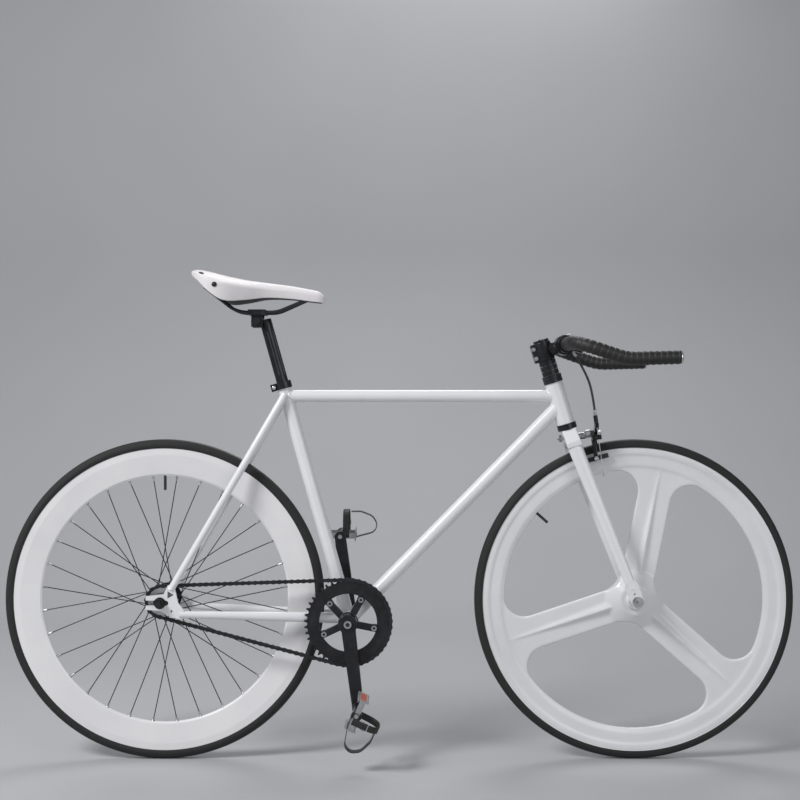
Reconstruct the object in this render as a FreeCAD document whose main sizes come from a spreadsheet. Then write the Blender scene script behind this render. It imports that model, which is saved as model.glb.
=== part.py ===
import FreeCAD, Part
import math
import os

import Sketcher
from FreeCAD import Placement, Rotation, Vector

# A fixed gear bicycle. X points forward, Y to the rider's left and Z up. The origin lies on the
# ground, midway between the two axles. Lengths are in millimetres and angles in degrees.

SIZES = {
    # wheels
    "wheelbase": 987, "tyre_radius": 336, "tyre_width": 25, "tyre_wall": 2.2, "inner_tube_diameter": 16,
    "valve_diameter": 6, "valve_reach": 30, "rim_radius": 317, "rim_depth": 58, "rim_width": 20,
    "rim_track": 14, "rim_wall": 1.8, "rim_well": 7, "rim_tip_width": 9, "rim_tip_round": 4,
    "spoke_count": 32, "spoke_diameter": 2, "spoke_head": 4, "spoke_outset": 2,
    "nipple_diameter": 4, "nipple_reach": 10, "nipple_grip": 5, "rear_valve_angle": 90,
    "hub_flange_spacing": 62, "hub_flange_radius": 30, "hub_flange_thickness": 3, "hub_hole_radius": 24,
    "hub_barrel_radius": 16, "hub_cog_seat_radius": 17, "hub_cog_seat_length": 15, "hub_end_length": 7,
    "hub_end_wall": 2.2,
    "bearing_width": 9, "bearing_radius": 13, "running_clearance": 0.05, "axle_diameter": 10,
    "axle_overhang": 20, "axle_shoulder_radius": 8.5, "nut_width": 17, "nut_height": 9,
    "washer_radius": 12, "washer_thickness": 2.5, "side_play": 0.4, "seat_gap": 0.1,
    # cast front wheel
    "mag_radius": 320, "mag_depth": 48, "mag_band": 17, "mag_width": 21, "mag_ledge": 2.5, "mag_wall": 2.4,
    "mag_well": 7, "mag_web": 11, "mag_slope": 9, "mag_spoke_width": 70, "mag_spoke_angle": 78.5,
    "mag_spoke_count": 3,
    "mag_rim_fillet": 42, "mag_hub_fillet": 55, "mag_hub_radius": 30, "mag_hub_width": 54,
    "mag_hub_cone": 62, "mag_neck_radius": 18, "mag_neck_width": 84, "mag_ridge_height": 11,
    "mag_ridge_width": 30, "mag_ridge_tip": 3, "front_spacing": 100,
    # frame
    "bottom_bracket_drop": 44, "seat_angle": 74.4, "seat_tube_length": 516, "seat_tube_diameter": 28.6,
    "top_tube_rear_set": 27, "top_tube_front_set": 29.3, "top_tube_diameter": 25.4,
    "down_tube_diameter": 28.6, "down_tube_rise": 42,
    "tube_wall": 1.4, "head_angle": 73, "head_tube_length": 90, "head_tube_diameter": 37.5,
    "head_tube_bore": 33, "shell_diameter": 40, "shell_length": 68, "shell_bore": 34,
    "chain_stay_height": 24, "chain_stay_width": 16.5, "chain_stay_end": 14, "chain_stay_spread": 36,
    "chain_stay_rise": 6, "chain_stay_drop": 24, "chain_stay_set": 40, "stay_wall": 1.2,
    "seat_stay_diameter": 16.5, "seat_stay_end": 14.5, "seat_stay_spread": 35, "seat_stay_set_down": 23,
    "seat_stay_rise": 27, "seat_stay_set": 22, "bridge_diameter": 10, "bridge_clearance": 10,
    "rear_spacing": 120, "dropout_thickness": 6, "dropout_length": 75, "dropout_height": 66,
    "slot_clearance": 0.3, "slot_reach": 12, "eyelet_hole": 5, "eyelet_set": 24, "eyelet_drop": 17,
    "dropout_window": 9, "dropout_window_set": 20, "dropout_window_rise": 17,
    "collar_diameter": 35, "collar_height": 15, "collar_lip": 4, "collar_ear_length": 13,
    "collar_ear_width": 16, "collar_bolt_diameter": 5, "collar_bolt_head": 9, "collar_bolt_length": 26,
    # headset, fork and stem
    "fork_length": 382, "fork_offset": 28, "steerer_diameter": 28.6, "steerer_wall": 2.2,
    "race_height": 5, "cup_height": 7, "cup_flange": 41, "cup_insert": 12, "cup_wall": 1, "headset_gap": 0.4,
    "headset_cover": 9, "spacer_height": 10, "spacer_diameter": 36, "spacer_seam": 0.8, "cap_height": 5,
    "cap_diameter": 33, "crown_depth": 30, "crown_width": 84, "crown_height": 38, "crown_arch_width": 46,
    "crown_arch_height": 11, "crown_neck": 35, "crown_shoulder": 12, "blade_width": 31,
    "blade_thickness": 17, "blade_end_width": 21, "blade_end_thickness": 11, "blade_spread": 66,
    "tip_thickness": 6, "tip_radius": 14, "tip_length": 34, "tip_hole": 5, "tip_hole_rise": 18,
    "stem_height": 40, "stem_diameter": 36, "stem_reach": 44, "stem_neck": 30, "bar_clamp_diameter": 42,
    "bar_clamp_width": 46, "faceplate_gap": 1.2, "stem_bolt_diameter": 5, "stem_bolt_head": 8.5,
    "stem_bolt_head_height": 5, "stem_bolt_length": 20, "stem_bolt_rise": 15.7, "stem_bolt_set": 15,
    "stem_ear_length": 10, "stem_ear_width": 22,
    # handlebar and brake lever
    "bar_diameter": 23.8, "bar_wall": 2, "bar_sleeve_diameter": 26, "bar_sleeve_length": 60,
    "bar_width": 400, "bar_drop": 34, "bar_forward": 100, "bar_horn": 105, "bar_horn_rise": 3,
    "bar_corner": 55, "bar_dip": 110, "tape_diameter": 28, "tape_start": 62, "plug_length": 5,
    "plug_insert": 15, "plug_diameter": 26, "lever_clamp_diameter": 35, "lever_clamp_width": 14,
    "lever_clamp_set": 41, "lever_pivot_forward": 30, "lever_pivot_radius": 7, "lever_pin_diameter": 6,
    "lever_thickness": 9, "lever_width": 10, "lever_elbow": 24, "lever_length": 104, "lever_sweep": 20,
    "lever_droop": 15,
    # front brake
    "brake_bolt_height": 364, "brake_lean": 8, "brake_bolt_diameter": 6, "brake_bolt_nut": 6,
    "brake_bolt_forward": 66, "bridge_thickness": 9, "bridge_width": 15, "caliper_plane": 40,
    "arm_thickness": 8, "arm_gap": 1.6, "arm_width": 12, "arm_spread": 28, "arm_shoulder": 4,
    "side_pivot_set": 22, "side_pivot_rise": 4, "pad_drop": 50, "pad_tilt": 7,
    "pad_length": 46, "pad_height": 9,
    "pad_thickness": 8, "pad_gap": 1, "pad_post": 6, "pad_post_length": 16, "adjuster_set": 37,
    "adjuster_rise": 20, "adjuster_diameter": 9, "adjuster_length": 20, "anchor_drop": 6,
    "anchor_diameter": 11, "anchor_length": 12, "wire_diameter": 1.6, "wire_hole": 3, "wire_tail": 88,
    "housing_diameter": 5, "housing_gap": 0.9, "housing_drop": 20, "housing_forward": 10,
    # cranks, chain and pedals
    "chain_pitch": 12.7, "chain_links": 92, "ring_teeth": 44, "cog_teeth": 16, "chain_line": 42,
    "tooth_width": 3, "roller_diameter": 7.7, "tooth_seat": 8.2, "tooth_height": 2.6, "tooth_slope": 22,
    "link_inner_width": 3.4, "plate_thickness": 1.1, "plate_height": 8.4, "plate_waist": 6,
    "plate_gap": 0.1, "pin_diameter": 3.6, "pin_clearance": 0.15, "pin_overhang": 0.4,
    "cog_boss_radius": 20.5, "lockring_radius": 20, "lockring_width": 4,
    "ring_inner_radius": 60, "bolt_circle": 110, "ring_tab_radius": 8, "spider_thickness": 6,
    "spider_arm_width": 15, "spider_boss_radius": 20, "ring_bolt_diameter": 8, "ring_bolt_head": 11,
    "ring_bolt_head_height": 1.5, "crank_length": 170, "crank_angle": 277, "crank_thickness": 14,
    "crank_root_width": 30, "crank_end_width": 24, "crank_plane": 53, "left_boss_plane": 42,
    "spindle_diameter": 15, "spindle_end": 57, "cup_lip": 3, "cup_lip_radius": 21,
    "crank_bolt_diameter": 16, "crank_bolt_height": 5,
    "pedal_axle_diameter": 9, "pedal_axle_length": 84, "pedal_start": 73, "pedal_width": 84,
    "pedal_length": 66, "pedal_height": 22, "pedal_plate": 3, "pedal_end": 5, "pedal_end_height": 12,
    "pedal_barrel_diameter": 24, "right_pedal_angle": 245, "left_pedal_angle": 0, "clip_thickness": 2,
    "clip_width": 26, "clip_reach": 80, "clip_height": 50, "strap_width": 14, "strap_thickness": 2,
    # seatpost and saddle
    "seatpost_diameter": 25.4, "seatpost_wall": 2.2, "seatpost_insert": 110, "seatpost_show": 140,
    "seat_head_set": 16, "seat_head_radius": 13, "seat_head_length": 30, "clamp_bolt_diameter": 8,
    "clamp_nut_width": 14, "clamp_nut_height": 6, "clamp_block_length": 36, "clamp_block_width": 56,
    "clamp_block_height": 11, "clamp_cheek_thickness": 4, "clamp_cheek_length": 24,
    "rail_diameter": 7, "rail_spacing": 44, "rail_straight": 84, "rail_bend": 60, "rail_tail_spread": 60,
    "rail_nose_spread": 18, "rail_tail_length": 66, "rail_tail_rise": 52, "rail_nose_length": 70,
    "rail_nose_rise": 30, "saddle_length": 272, "saddle_width": 152, "saddle_height": 70,
    "saddle_set_back": 133.8, "saddle_rise": 37.5, "rivet_radius": 5,
    # one overrun for every cut
    "overrun": 5,
}

doc = FreeCAD.newDocument("fixed_gear_bike")
sheet = doc.addObject("Spreadsheet::Sheet", "Sizes")
for row, (alias, number) in enumerate(SIZES.items(), 1):
    sheet.set("A%d" % row, alias)
    sheet.set("B%d" % row, str(number))
    sheet.setAlias("B%d" % row, alias)
doc.recompute()


class Size(float):
    """A number that remembers the sheet formula it comes from."""

    def __new__(cls, value, formula):
        size = super().__new__(cls, value)
        size.formula = formula
        return size

    def __add__(self, other):
        return joined(self, "+", other, float(self) + float(other))

    def __radd__(self, other):
        return joined(other, "+", self, float(other) + float(self))

    def __sub__(self, other):
        return joined(self, "-", other, float(self) - float(other))

    def __rsub__(self, other):
        return joined(other, "-", self, float(other) - float(self))

    def __mul__(self, other):
        return joined(self, "*", other, float(self) * float(other))

    def __rmul__(self, other):
        return joined(other, "*", self, float(other) * float(self))

    def __truediv__(self, other):
        return joined(self, "/", other, float(self) / float(other))

    def __neg__(self):
        return joined(0, "-", self, -float(self))


def formula_of(value):
    """The sheet formula of a size, or a plain number written out."""
    if isinstance(value, Size):
        return value.formula
    return "(%.9f)" % value


def joined(left, sign, right, value):
    return Size(value, "(%s %s %s)" % (formula_of(left), sign, formula_of(right)))


class Sheet:
    """Gives each alias of the sheet as a size."""

    def __getattr__(self, alias):
        return Size(sheet.get(alias), "Sizes." + alias)


s = Sheet()
UP = Vector(0, 0, 1)
LEFT = Vector(0, 1, 0)
RIGHT = Vector(0, -1, 0)
FORWARD = Vector(1, 0, 0)
nodes = {}


# Building blocks

def bind(item, **values):
    """Sets properties, tied to the sheet where the value is a size."""
    for name, value in values.items():
        if isinstance(value, Size):
            item.setExpression(name, value.formula)
        else:
            setattr(item, name, value)
    return item


def turned_to(direction):
    return Rotation(UP, direction)


def add(kind, name, place=None, **values):
    item = bind(doc.addObject(kind, name), **values)
    if place is not None:
        item.Placement = place
    return item


def rod(name, radius, start, end):
    """A cylinder from one point to another."""
    place = Placement(start, turned_to(end - start))
    return add("Part::Cylinder", name, place, Radius=radius, Height=start.distanceToPoint(end))


def disc(name, radius, height, start, direction):
    """A cylinder of a given height on a base point."""
    return add("Part::Cylinder", name, Placement(start, turned_to(direction)), Radius=radius, Height=height)


def hexagon(name, width, height, start, direction):
    """A six sided nut, its size across the flats."""
    across = width / math.sqrt(3)
    place = Placement(start, turned_to(direction))
    return add("Part::Prism", name, place, Polygon=6, Circumradius=across, Height=height)


def box(name, length, width, height, place):
    """A box whose own origin is the middle of its base."""
    shift = Placement(Vector(-length / 2, -width / 2, 0), Rotation())
    return add("Part::Box", name, place.multiply(shift), Length=length, Width=width, Height=height)


def fuse(name, *items):
    item = doc.addObject("Part::MultiFuse", name)
    item.Shapes = list(items)
    return item


def group(name, *items):
    item = doc.addObject("Part::Compound", name)
    item.Links = list(items)
    return item


def cut(name, base, *tools):
    item = doc.addObject("Part::Cut", name)
    item.Base = base
    item.Tool = tools[0] if len(tools) == 1 else group(name + "_tools", *tools)
    return item


def mirrored(item):
    """The same piece on the other side of the bike."""
    other = doc.addObject("Part::Mirroring", item.Name + "_mirror")
    other.Source = item
    other.Base = Vector(0, 0, 0)
    other.Normal = LEFT
    return other


def pair(name, item):
    return group(name, item, mirrored(item))


def feature(name, shape, place=None):
    item = doc.addObject("Part::Feature", name)
    item.Shape = shape
    if place is not None:
        item.Placement = place
    return item


def node(name, item):
    """Keeps a finished sub-part under the name of its file."""
    item.Label = name
    nodes[name] = item
    return item


def outline(body, role, points, name):
    """A closed outline of straight lines; each corner is tied to the sheet."""
    sketch = body.newObject("Sketcher::SketchObject", name)
    plane = next(item for item in body.Origin.OriginFeatures if item.Role == role)
    sketch.AttachmentSupport = [(plane, "")]
    sketch.MapMode = "FlatFace"
    corners = [Vector(float(x), float(y), 0) for x, y in points]
    for corner, following in zip(corners, corners[1:] + corners[:1]):
        sketch.addGeometry(Part.LineSegment(corner, following))
    for index, point in enumerate(points):
        before = index - 1 if index else len(points) - 1
        sketch.addConstraint(Sketcher.Constraint("Coincident", before, 2, index, 1))
        for kind, value in zip(("DistanceX", "DistanceY"), point):
            number = sketch.addConstraint(Sketcher.Constraint(kind, -1, 1, index, 1, float(value)))
            if isinstance(value, Size):
                sketch.setExpression("Constraints[%d]" % number, value.formula)
    return sketch


def turned(name, points, place):
    """A body turned about its own Z axis from an outline of (radius, height) corners."""
    body = doc.addObject("PartDesign::Body", name)
    sketch = outline(body, "XZ_Plane", points, name + "_outline")
    turn = body.newObject("PartDesign::Revolution", name + "_turn")
    turn.Profile = sketch
    turn.ReferenceAxis = (sketch, ["V_Axis"])
    turn.Angle = 360
    body.Placement = place
    return body


def plate(name, points, thickness, place):
    """A body padded along its own Z axis from an outline of (x, y) corners."""
    body = doc.addObject("PartDesign::Body", name)
    sketch = outline(body, "XY_Plane", points, name + "_outline")
    pad = body.newObject("PartDesign::Pad", name + "_pad")
    pad.Profile = sketch
    bind(pad, Length=thickness)
    body.Placement = place
    return body


def strip(name, points, width, thickness, place):
    """A plate of even width with round ends and corners, along points in the plane of its place."""
    pieces = []
    for index, (x, y) in enumerate(points):
        at = place.multiply(Placement(Vector(x, y, 0), Rotation()))
        pieces.append(add("Part::Cylinder", "%s_end%d" % (name, index), at, Radius=width / 2,
                          Height=thickness))
    for index, (start, end) in enumerate(zip(points, points[1:])):
        run = Vector(end[0] - start[0], end[1] - start[1], 0)
        middle = Vector(start[0], start[1], 0) + run / 2
        at = place.multiply(Placement(middle, Rotation(FORWARD, run)))
        pieces.append(box("%s_run%d" % (name, index), run.Length, width, thickness, at))
    return fuse(name, *pieces)


def rounded(points, radii):
    """A path of straight runs through the points, joined by tangent arcs."""
    edges = []
    start = points[0]
    for radius, before, corner, after in zip(radii, points, points[1:], points[2:]):
        back = (before - corner).normalize()
        ahead = (after - corner).normalize()
        half = back.getAngle(ahead) / 2
        first = corner + back * (radius / math.tan(half))
        last = corner + ahead * (radius / math.tan(half))
        inward = (back + ahead).normalize()
        middle = corner + inward * (radius / math.sin(half) - radius)
        edges.append(Part.LineSegment(start, first).toShape())
        edges.append(Part.Arc(first, middle, last).toShape())
        start = last
    edges.append(Part.LineSegment(start, points[-1]).toShape())
    return Part.Wire(edges)


def bent(name, radius, points, radii):
    """A round bar swept along a path of straight runs and arcs."""
    path = feature(name + "_path", rounded(points, radii))
    place = Placement(points[0], turned_to(points[1] - points[0]))
    ring = add("Part::Circle", name + "_ring", place, Radius=radius)
    sweep = doc.addObject("Part::Sweep", name)
    sweep.Sections = [ring]
    sweep.Spine = (path, ["Edge%d" % (index + 1) for index in range(len(path.Shape.Edges))])
    sweep.Solid = True
    return sweep


def tube(name, diameter, wall, start, end):
    """A straight hollow tube; its solid core is kept for the mitres of its neighbours."""
    core = rod(name + "_core", diameter / 2, start, end)
    bore = rod(name + "_bore", diameter / 2 - wall, start, end)
    return core, cut(name + "_wall", core, bore)


def tapered(name, first, last, wall, start, end):
    """A hollow tapered tube between two diameters."""
    place = Placement(start, turned_to(end - start))
    length = start.distanceToPoint(end)
    core = add("Part::Cone", name + "_core", place, Radius1=first / 2, Radius2=last / 2, Height=length)
    bore = add("Part::Cone", name + "_bore", place, Radius1=first / 2 - wall, Radius2=last / 2 - wall,
               Height=length)
    return cut(name + "_wall", core, bore)


# Layout of the bike in its middle plane

def cosine(angle):
    return math.cos(math.radians(angle))


def sine(angle):
    return math.sin(math.radians(angle))


def sprocket_radius(teeth):
    """Radius on which the chain's rollers lie round a sprocket."""
    return s.chain_pitch * teeth / (2 * math.pi)


def loop_length(distance):
    """Length of the chain for a distance between the two sprockets."""
    large = float(sprocket_radius(s.ring_teeth))
    small = float(sprocket_radius(s.cog_teeth))
    lean = math.asin((large - small) / distance)
    return 2 * distance * math.cos(lean) + large * (math.pi + 2 * lean) + small * (math.pi - 2 * lean)


def stay_length():
    """Distance from the bottom bracket to the rear axle that holds the chain taut."""
    low = float(sprocket_radius(s.ring_teeth))
    high = float(s.wheelbase)
    for _ in range(80):
        middle = (low + high) / 2
        if loop_length(middle) < s.chain_pitch * s.chain_links:
            low = middle
        else:
            high = middle
    return low


rear_axle = Vector(-s.wheelbase / 2, 0, s.tyre_radius)
front_axle = Vector(s.wheelbase / 2, 0, s.tyre_radius)
stay_run = math.sqrt(stay_length() ** 2 - s.bottom_bracket_drop ** 2)
bracket = rear_axle + Vector(stay_run, 0, -s.bottom_bracket_drop)
seat_up = Vector(-cosine(s.seat_angle), 0, sine(s.seat_angle))
seat_ahead = Vector(sine(s.seat_angle), 0, cosine(s.seat_angle))
steer_up = Vector(-cosine(s.head_angle), 0, sine(s.head_angle))
steer_ahead = Vector(sine(s.head_angle), 0, cosine(s.head_angle))
steer_foot = front_axle - steer_ahead * s.fork_offset
head_low = s.fork_length + s.race_height + s.headset_gap + s.cup_height
head_high = head_low + s.head_tube_length
cover_base = head_high + s.cup_height + s.headset_gap
stem_low = cover_base + s.headset_cover + 3 * (s.spacer_height + s.spacer_seam)
stem_middle = stem_low + s.stem_height / 2
steerer_top = stem_low + s.stem_height


def on_seat(along, ahead=0, left=0):
    return bracket + seat_up * along + seat_ahead * ahead + LEFT * left


def on_steerer(along, ahead=0, left=0):
    return steer_foot + steer_up * along + steer_ahead * ahead + LEFT * left


def steering_place(along, ahead=0, left=0):
    """Local X to the left, Y up the steerer and Z forward."""
    return Placement(on_steerer(along, ahead, left), Rotation(LEFT, steer_up, steer_ahead, "ZXY"))


def wheel_place(centre, left=0):
    """Local Z to the left, along the axle."""
    return Placement(centre + LEFT * left, Rotation(FORWARD, -UP, LEFT, "ZXY"))


# Frame tubes, each mitred to the ones it meets

def frame_tubes():
    half_shell = LEFT * (s.shell_length / 2)
    shell, shell_wall = tube("shell", s.shell_diameter, (s.shell_diameter - s.shell_bore) / 2,
                             bracket - half_shell, bracket + half_shell)
    head, head_wall = tube("head", s.head_tube_diameter, (s.head_tube_diameter - s.head_tube_bore) / 2,
                           on_steerer(head_low), on_steerer(head_high))
    seat_wall_thickness = (s.seat_tube_diameter - s.seatpost_diameter) / 2 - s.running_clearance
    seat, seat_wall = tube("seat", s.seat_tube_diameter, seat_wall_thickness, bracket,
                           on_seat(s.seat_tube_length))
    top_rear = on_seat(s.seat_tube_length - s.top_tube_rear_set)
    top_front = on_steerer(head_high - s.top_tube_front_set)
    top, top_wall = tube("top", s.top_tube_diameter, s.tube_wall, top_rear, top_front)
    down_front = on_steerer(head_low + s.down_tube_rise)
    _, down_wall = tube("down", s.down_tube_diameter, s.tube_wall, bracket, down_front)
    node("bottom_bracket_shell", shell_wall)
    node("head_tube", head_wall)
    node("seat_tube", cut("seat_mitred", seat_wall, shell))
    node("top_tube", cut("top_mitred", top_wall, seat, head))
    node("down_tube", cut("down_mitred", down_wall, shell, head, top, seat))
    return shell, seat, top


def dropout():
    """The right rear dropout plate with its slot, eyelet hole and window."""
    shares = ((-0.39, 0.21), (0.10, 0.27), (0.22, 0.56), (0.40, 0.48), (0.50, 0.0), (0.66, -0.23),
              (0.62, -0.50), (0.33, -0.45), (0.0, -0.24), (-0.39, -0.21))
    points = [(s.dropout_length * x, s.dropout_height * z) for x, z in shares]
    inner = -s.rear_spacing / 2
    place = Placement(rear_axle + LEFT * inner, Rotation(FORWARD, UP, RIGHT, "ZXY"))
    body = plate("dropout_plate", points, s.dropout_thickness, place)
    depth = s.dropout_thickness + 2 * s.overrun
    face = Placement(rear_axle + LEFT * (inner + s.overrun), Rotation(FORWARD, UP, RIGHT, "ZXY"))
    slot_width = s.axle_diameter + 2 * s.slot_clearance
    slot_run = s.dropout_length / 2 + s.slot_reach
    slot_at = face.multiply(Placement(Vector(s.slot_reach - slot_run / 2, 0, 0), Rotation()))
    slot = box("dropout_slot", slot_run, slot_width, depth, slot_at)
    slot_end = disc("dropout_slot_end", slot_width / 2, depth,
                    face.multVec(Vector(s.slot_reach, 0, 0)), RIGHT)
    eyelet = disc("dropout_eyelet", s.eyelet_hole / 2, depth,
                  face.multVec(Vector(s.eyelet_set, -s.eyelet_drop, 0)), RIGHT)
    window_at = face.multiply(Placement(Vector(s.dropout_window_set, s.dropout_window_rise, 0), Rotation()))
    window = add("Part::Prism", "dropout_window", window_at, Polygon=3, Circumradius=s.dropout_window,
                 Height=depth)
    return cut("dropout_right", body, slot, slot_end, eyelet, window)


def stays(shell, seat, top):
    """Chain stays, seat stays and their bridges, on the right and mirrored."""
    plate_middle = -(s.rear_spacing + s.dropout_thickness) / 2
    end_plate = dropout()
    rear = rear_axle + Vector(s.chain_stay_set, plate_middle, -s.chain_stay_drop)
    front = bracket + Vector(0, -s.chain_stay_spread / 2, s.chain_stay_rise)
    run = rear - front
    across = Rotation(UP, LEFT, run, "ZXY")
    sections = []
    for name, place, height, width in (("front", front, s.chain_stay_height, s.chain_stay_width),
                                       ("rear", rear, s.chain_stay_end, s.chain_stay_end)):
        sections.append(add("Part::Ellipse", "chain_stay_" + name, Placement(place, across),
                            MajorRadius=height / 2, MinorRadius=width / 2))
    chain_stay = add("Part::Loft", "chain_stay_loft", Sections=sections, Solid=True, Ruled=True)
    chain_stay_right = cut("chain_stay_right", chain_stay, shell, end_plate)
    join = on_seat(s.seat_tube_length - s.seat_stay_set_down, 0, -s.seat_stay_spread / 2)
    foot = rear_axle + Vector(s.seat_stay_set, plate_middle, s.seat_stay_rise)
    seat_stay = tapered("seat_stay", s.seat_stay_diameter, s.seat_stay_end, s.stay_wall, join, foot)
    seat_stay_right = cut("seat_stay_right", seat_stay, seat, top, end_plate)
    low_clear = s.tyre_radius + s.bridge_clearance + s.bridge_diameter / 2
    low_along = (bracket.x - rear_axle.x - low_clear) / -run.x
    low_at = front + run * low_along
    low_bridge = rod("chain_stay_bridge_rod", s.bridge_diameter / 2, low_at, low_at - LEFT * (2 * low_at.y))
    climb = join - foot
    high_along = next(share / 200 for share in range(200)
                      if Vector(foot.x + climb.x * share / 200 - rear_axle.x, 0,
                                foot.z + climb.z * share / 200 - rear_axle.z).Length > low_clear)
    high_at = foot + climb * high_along
    high_bridge = rod("seat_stay_bridge_rod", s.bridge_diameter / 2, high_at,
                      high_at - LEFT * (2 * high_at.y))
    chain_pair = pair("chain_stay_pair", chain_stay_right)
    seat_pair = pair("seat_stay_pair", seat_stay_right)
    solid_stay = add("Part::Cone", "seat_stay_solid", Placement(join, turned_to(foot - join)),
                     Radius1=s.seat_stay_diameter / 2, Radius2=s.seat_stay_end / 2,
                     Height=join.distanceToPoint(foot))
    seat_cutters = pair("seat_stay_solids", solid_stay)
    chain_cutters = pair("chain_stay_solids", chain_stay)
    low_cut = cut("chain_stay_bridge", low_bridge, chain_cutters)
    high_cut = cut("seat_stay_bridge", high_bridge, seat_cutters)
    node("chain_stays", group("chain_stays_all", chain_pair, low_cut))
    node("seat_stays", group("seat_stays_all", seat_pair, high_cut))
    node("rear_dropouts", pair("dropout_pair", end_plate))


def seat_collar():
    """The clamp ring round the top of the seat tube, with its bolt at the back."""
    low = s.seat_tube_length + s.collar_lip - s.collar_height
    place = Placement(on_seat(low), Rotation(seat_ahead, LEFT, seat_up, "ZXY"))
    step = s.collar_height - s.collar_lip
    tube_radius = s.seat_tube_diameter / 2
    post_radius = s.seatpost_diameter / 2 + 2 * s.seat_gap
    ring = turned("collar_ring", ((tube_radius, 0), (s.collar_diameter / 2, 0),
                                  (s.collar_diameter / 2, s.collar_height), (post_radius, s.collar_height),
                                  (post_radius, step), (tube_radius, step)), place)
    ear_at = place.multiply(Placement(Vector(-s.collar_diameter / 2 - s.collar_ear_length / 2
                                             + s.collar_lip, 0, 0), Rotation()))
    ear = box("collar_ear", s.collar_ear_length, s.collar_ear_width, s.collar_height, ear_at)
    bolt_at = on_seat(low + s.collar_height / 2,
                      s.collar_lip - s.collar_diameter / 2 - s.collar_ear_length / 2)
    reach = LEFT * (s.collar_bolt_length / 2)
    bolt = rod("collar_bolt_shank", s.collar_bolt_diameter / 2, bolt_at - reach, bolt_at + reach)
    head = disc("collar_bolt_head", s.collar_bolt_head / 2, s.collar_bolt_diameter, bolt_at - reach, LEFT)
    head_in = s.collar_bolt_length / 2 - s.collar_bolt_diameter - s.collar_ear_width / 2
    head.Placement = Placement(bolt_at - reach + LEFT * head_in, turned_to(LEFT))
    bolt_all = fuse("collar_bolt", bolt, head)
    post_hole = disc("collar_post_hole", tube_radius, s.collar_height, on_seat(low), seat_up)
    ear_cut = cut("collar_ear_cut", ear, post_hole)
    ring_all = fuse("collar_ring_ear", ring, ear_cut)
    node("seat_clamp", group("seat_clamp_all", cut("collar", ring_all, bolt_all), bolt_all))


# Headset, fork, stem and handlebar

def ring_part(name, outer, inner, low, high):
    """A plain ring on the steering axis."""
    core = rod(name + "_core", outer, on_steerer(low), on_steerer(high))
    bore = rod(name + "_bore", inner, on_steerer(low), on_steerer(high))
    return cut(name, core, bore)


def headset():
    loose = s.steerer_diameter / 2 + s.seat_gap
    insert = s.head_tube_bore / 2
    flange = s.cup_flange / 2
    place_low = Placement(on_steerer(head_low), turned_to(steer_up))
    profile = ((insert - s.cup_wall, -s.cup_height), (flange, -s.cup_height), (flange, 0), (insert, 0),
               (insert, s.cup_insert), (insert - s.cup_wall, s.cup_insert))
    lower = turned("lower_cup", profile, place_low)
    place_high = Placement(on_steerer(head_high), turned_to(-steer_up))
    upper = turned("upper_cup", profile, place_high)
    inner = insert - s.cup_wall
    low_bearing = ring_part("low_bearing", inner, loose, head_low - s.cup_height, head_low)
    high_bearing = ring_part("high_bearing", inner, loose, head_high, head_high + s.cup_height)
    node("headset_cups", group("headset_cups_all", lower, upper, low_bearing, high_bearing))
    snug = s.steerer_diameter / 2
    race = ring_part("crown_race", flange, snug, s.fork_length, s.fork_length + s.race_height)
    cover_top = cover_base + s.headset_cover
    cover = ring_part("headset_cover", flange, snug, cover_base, cover_top)
    pieces = [race, cover]
    for index in range(3):
        low = cover_top + s.spacer_seam + index * (s.spacer_height + s.spacer_seam)
        pieces.append(ring_part("spacer_%d" % index, s.spacer_diameter / 2, snug, low,
                                low + s.spacer_height))
    pieces.append(disc("top_cap", s.cap_diameter / 2, s.cap_height, on_steerer(steerer_top), steer_up))
    node("headset_spacers", group("headset_spacers_all", *pieces))


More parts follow.
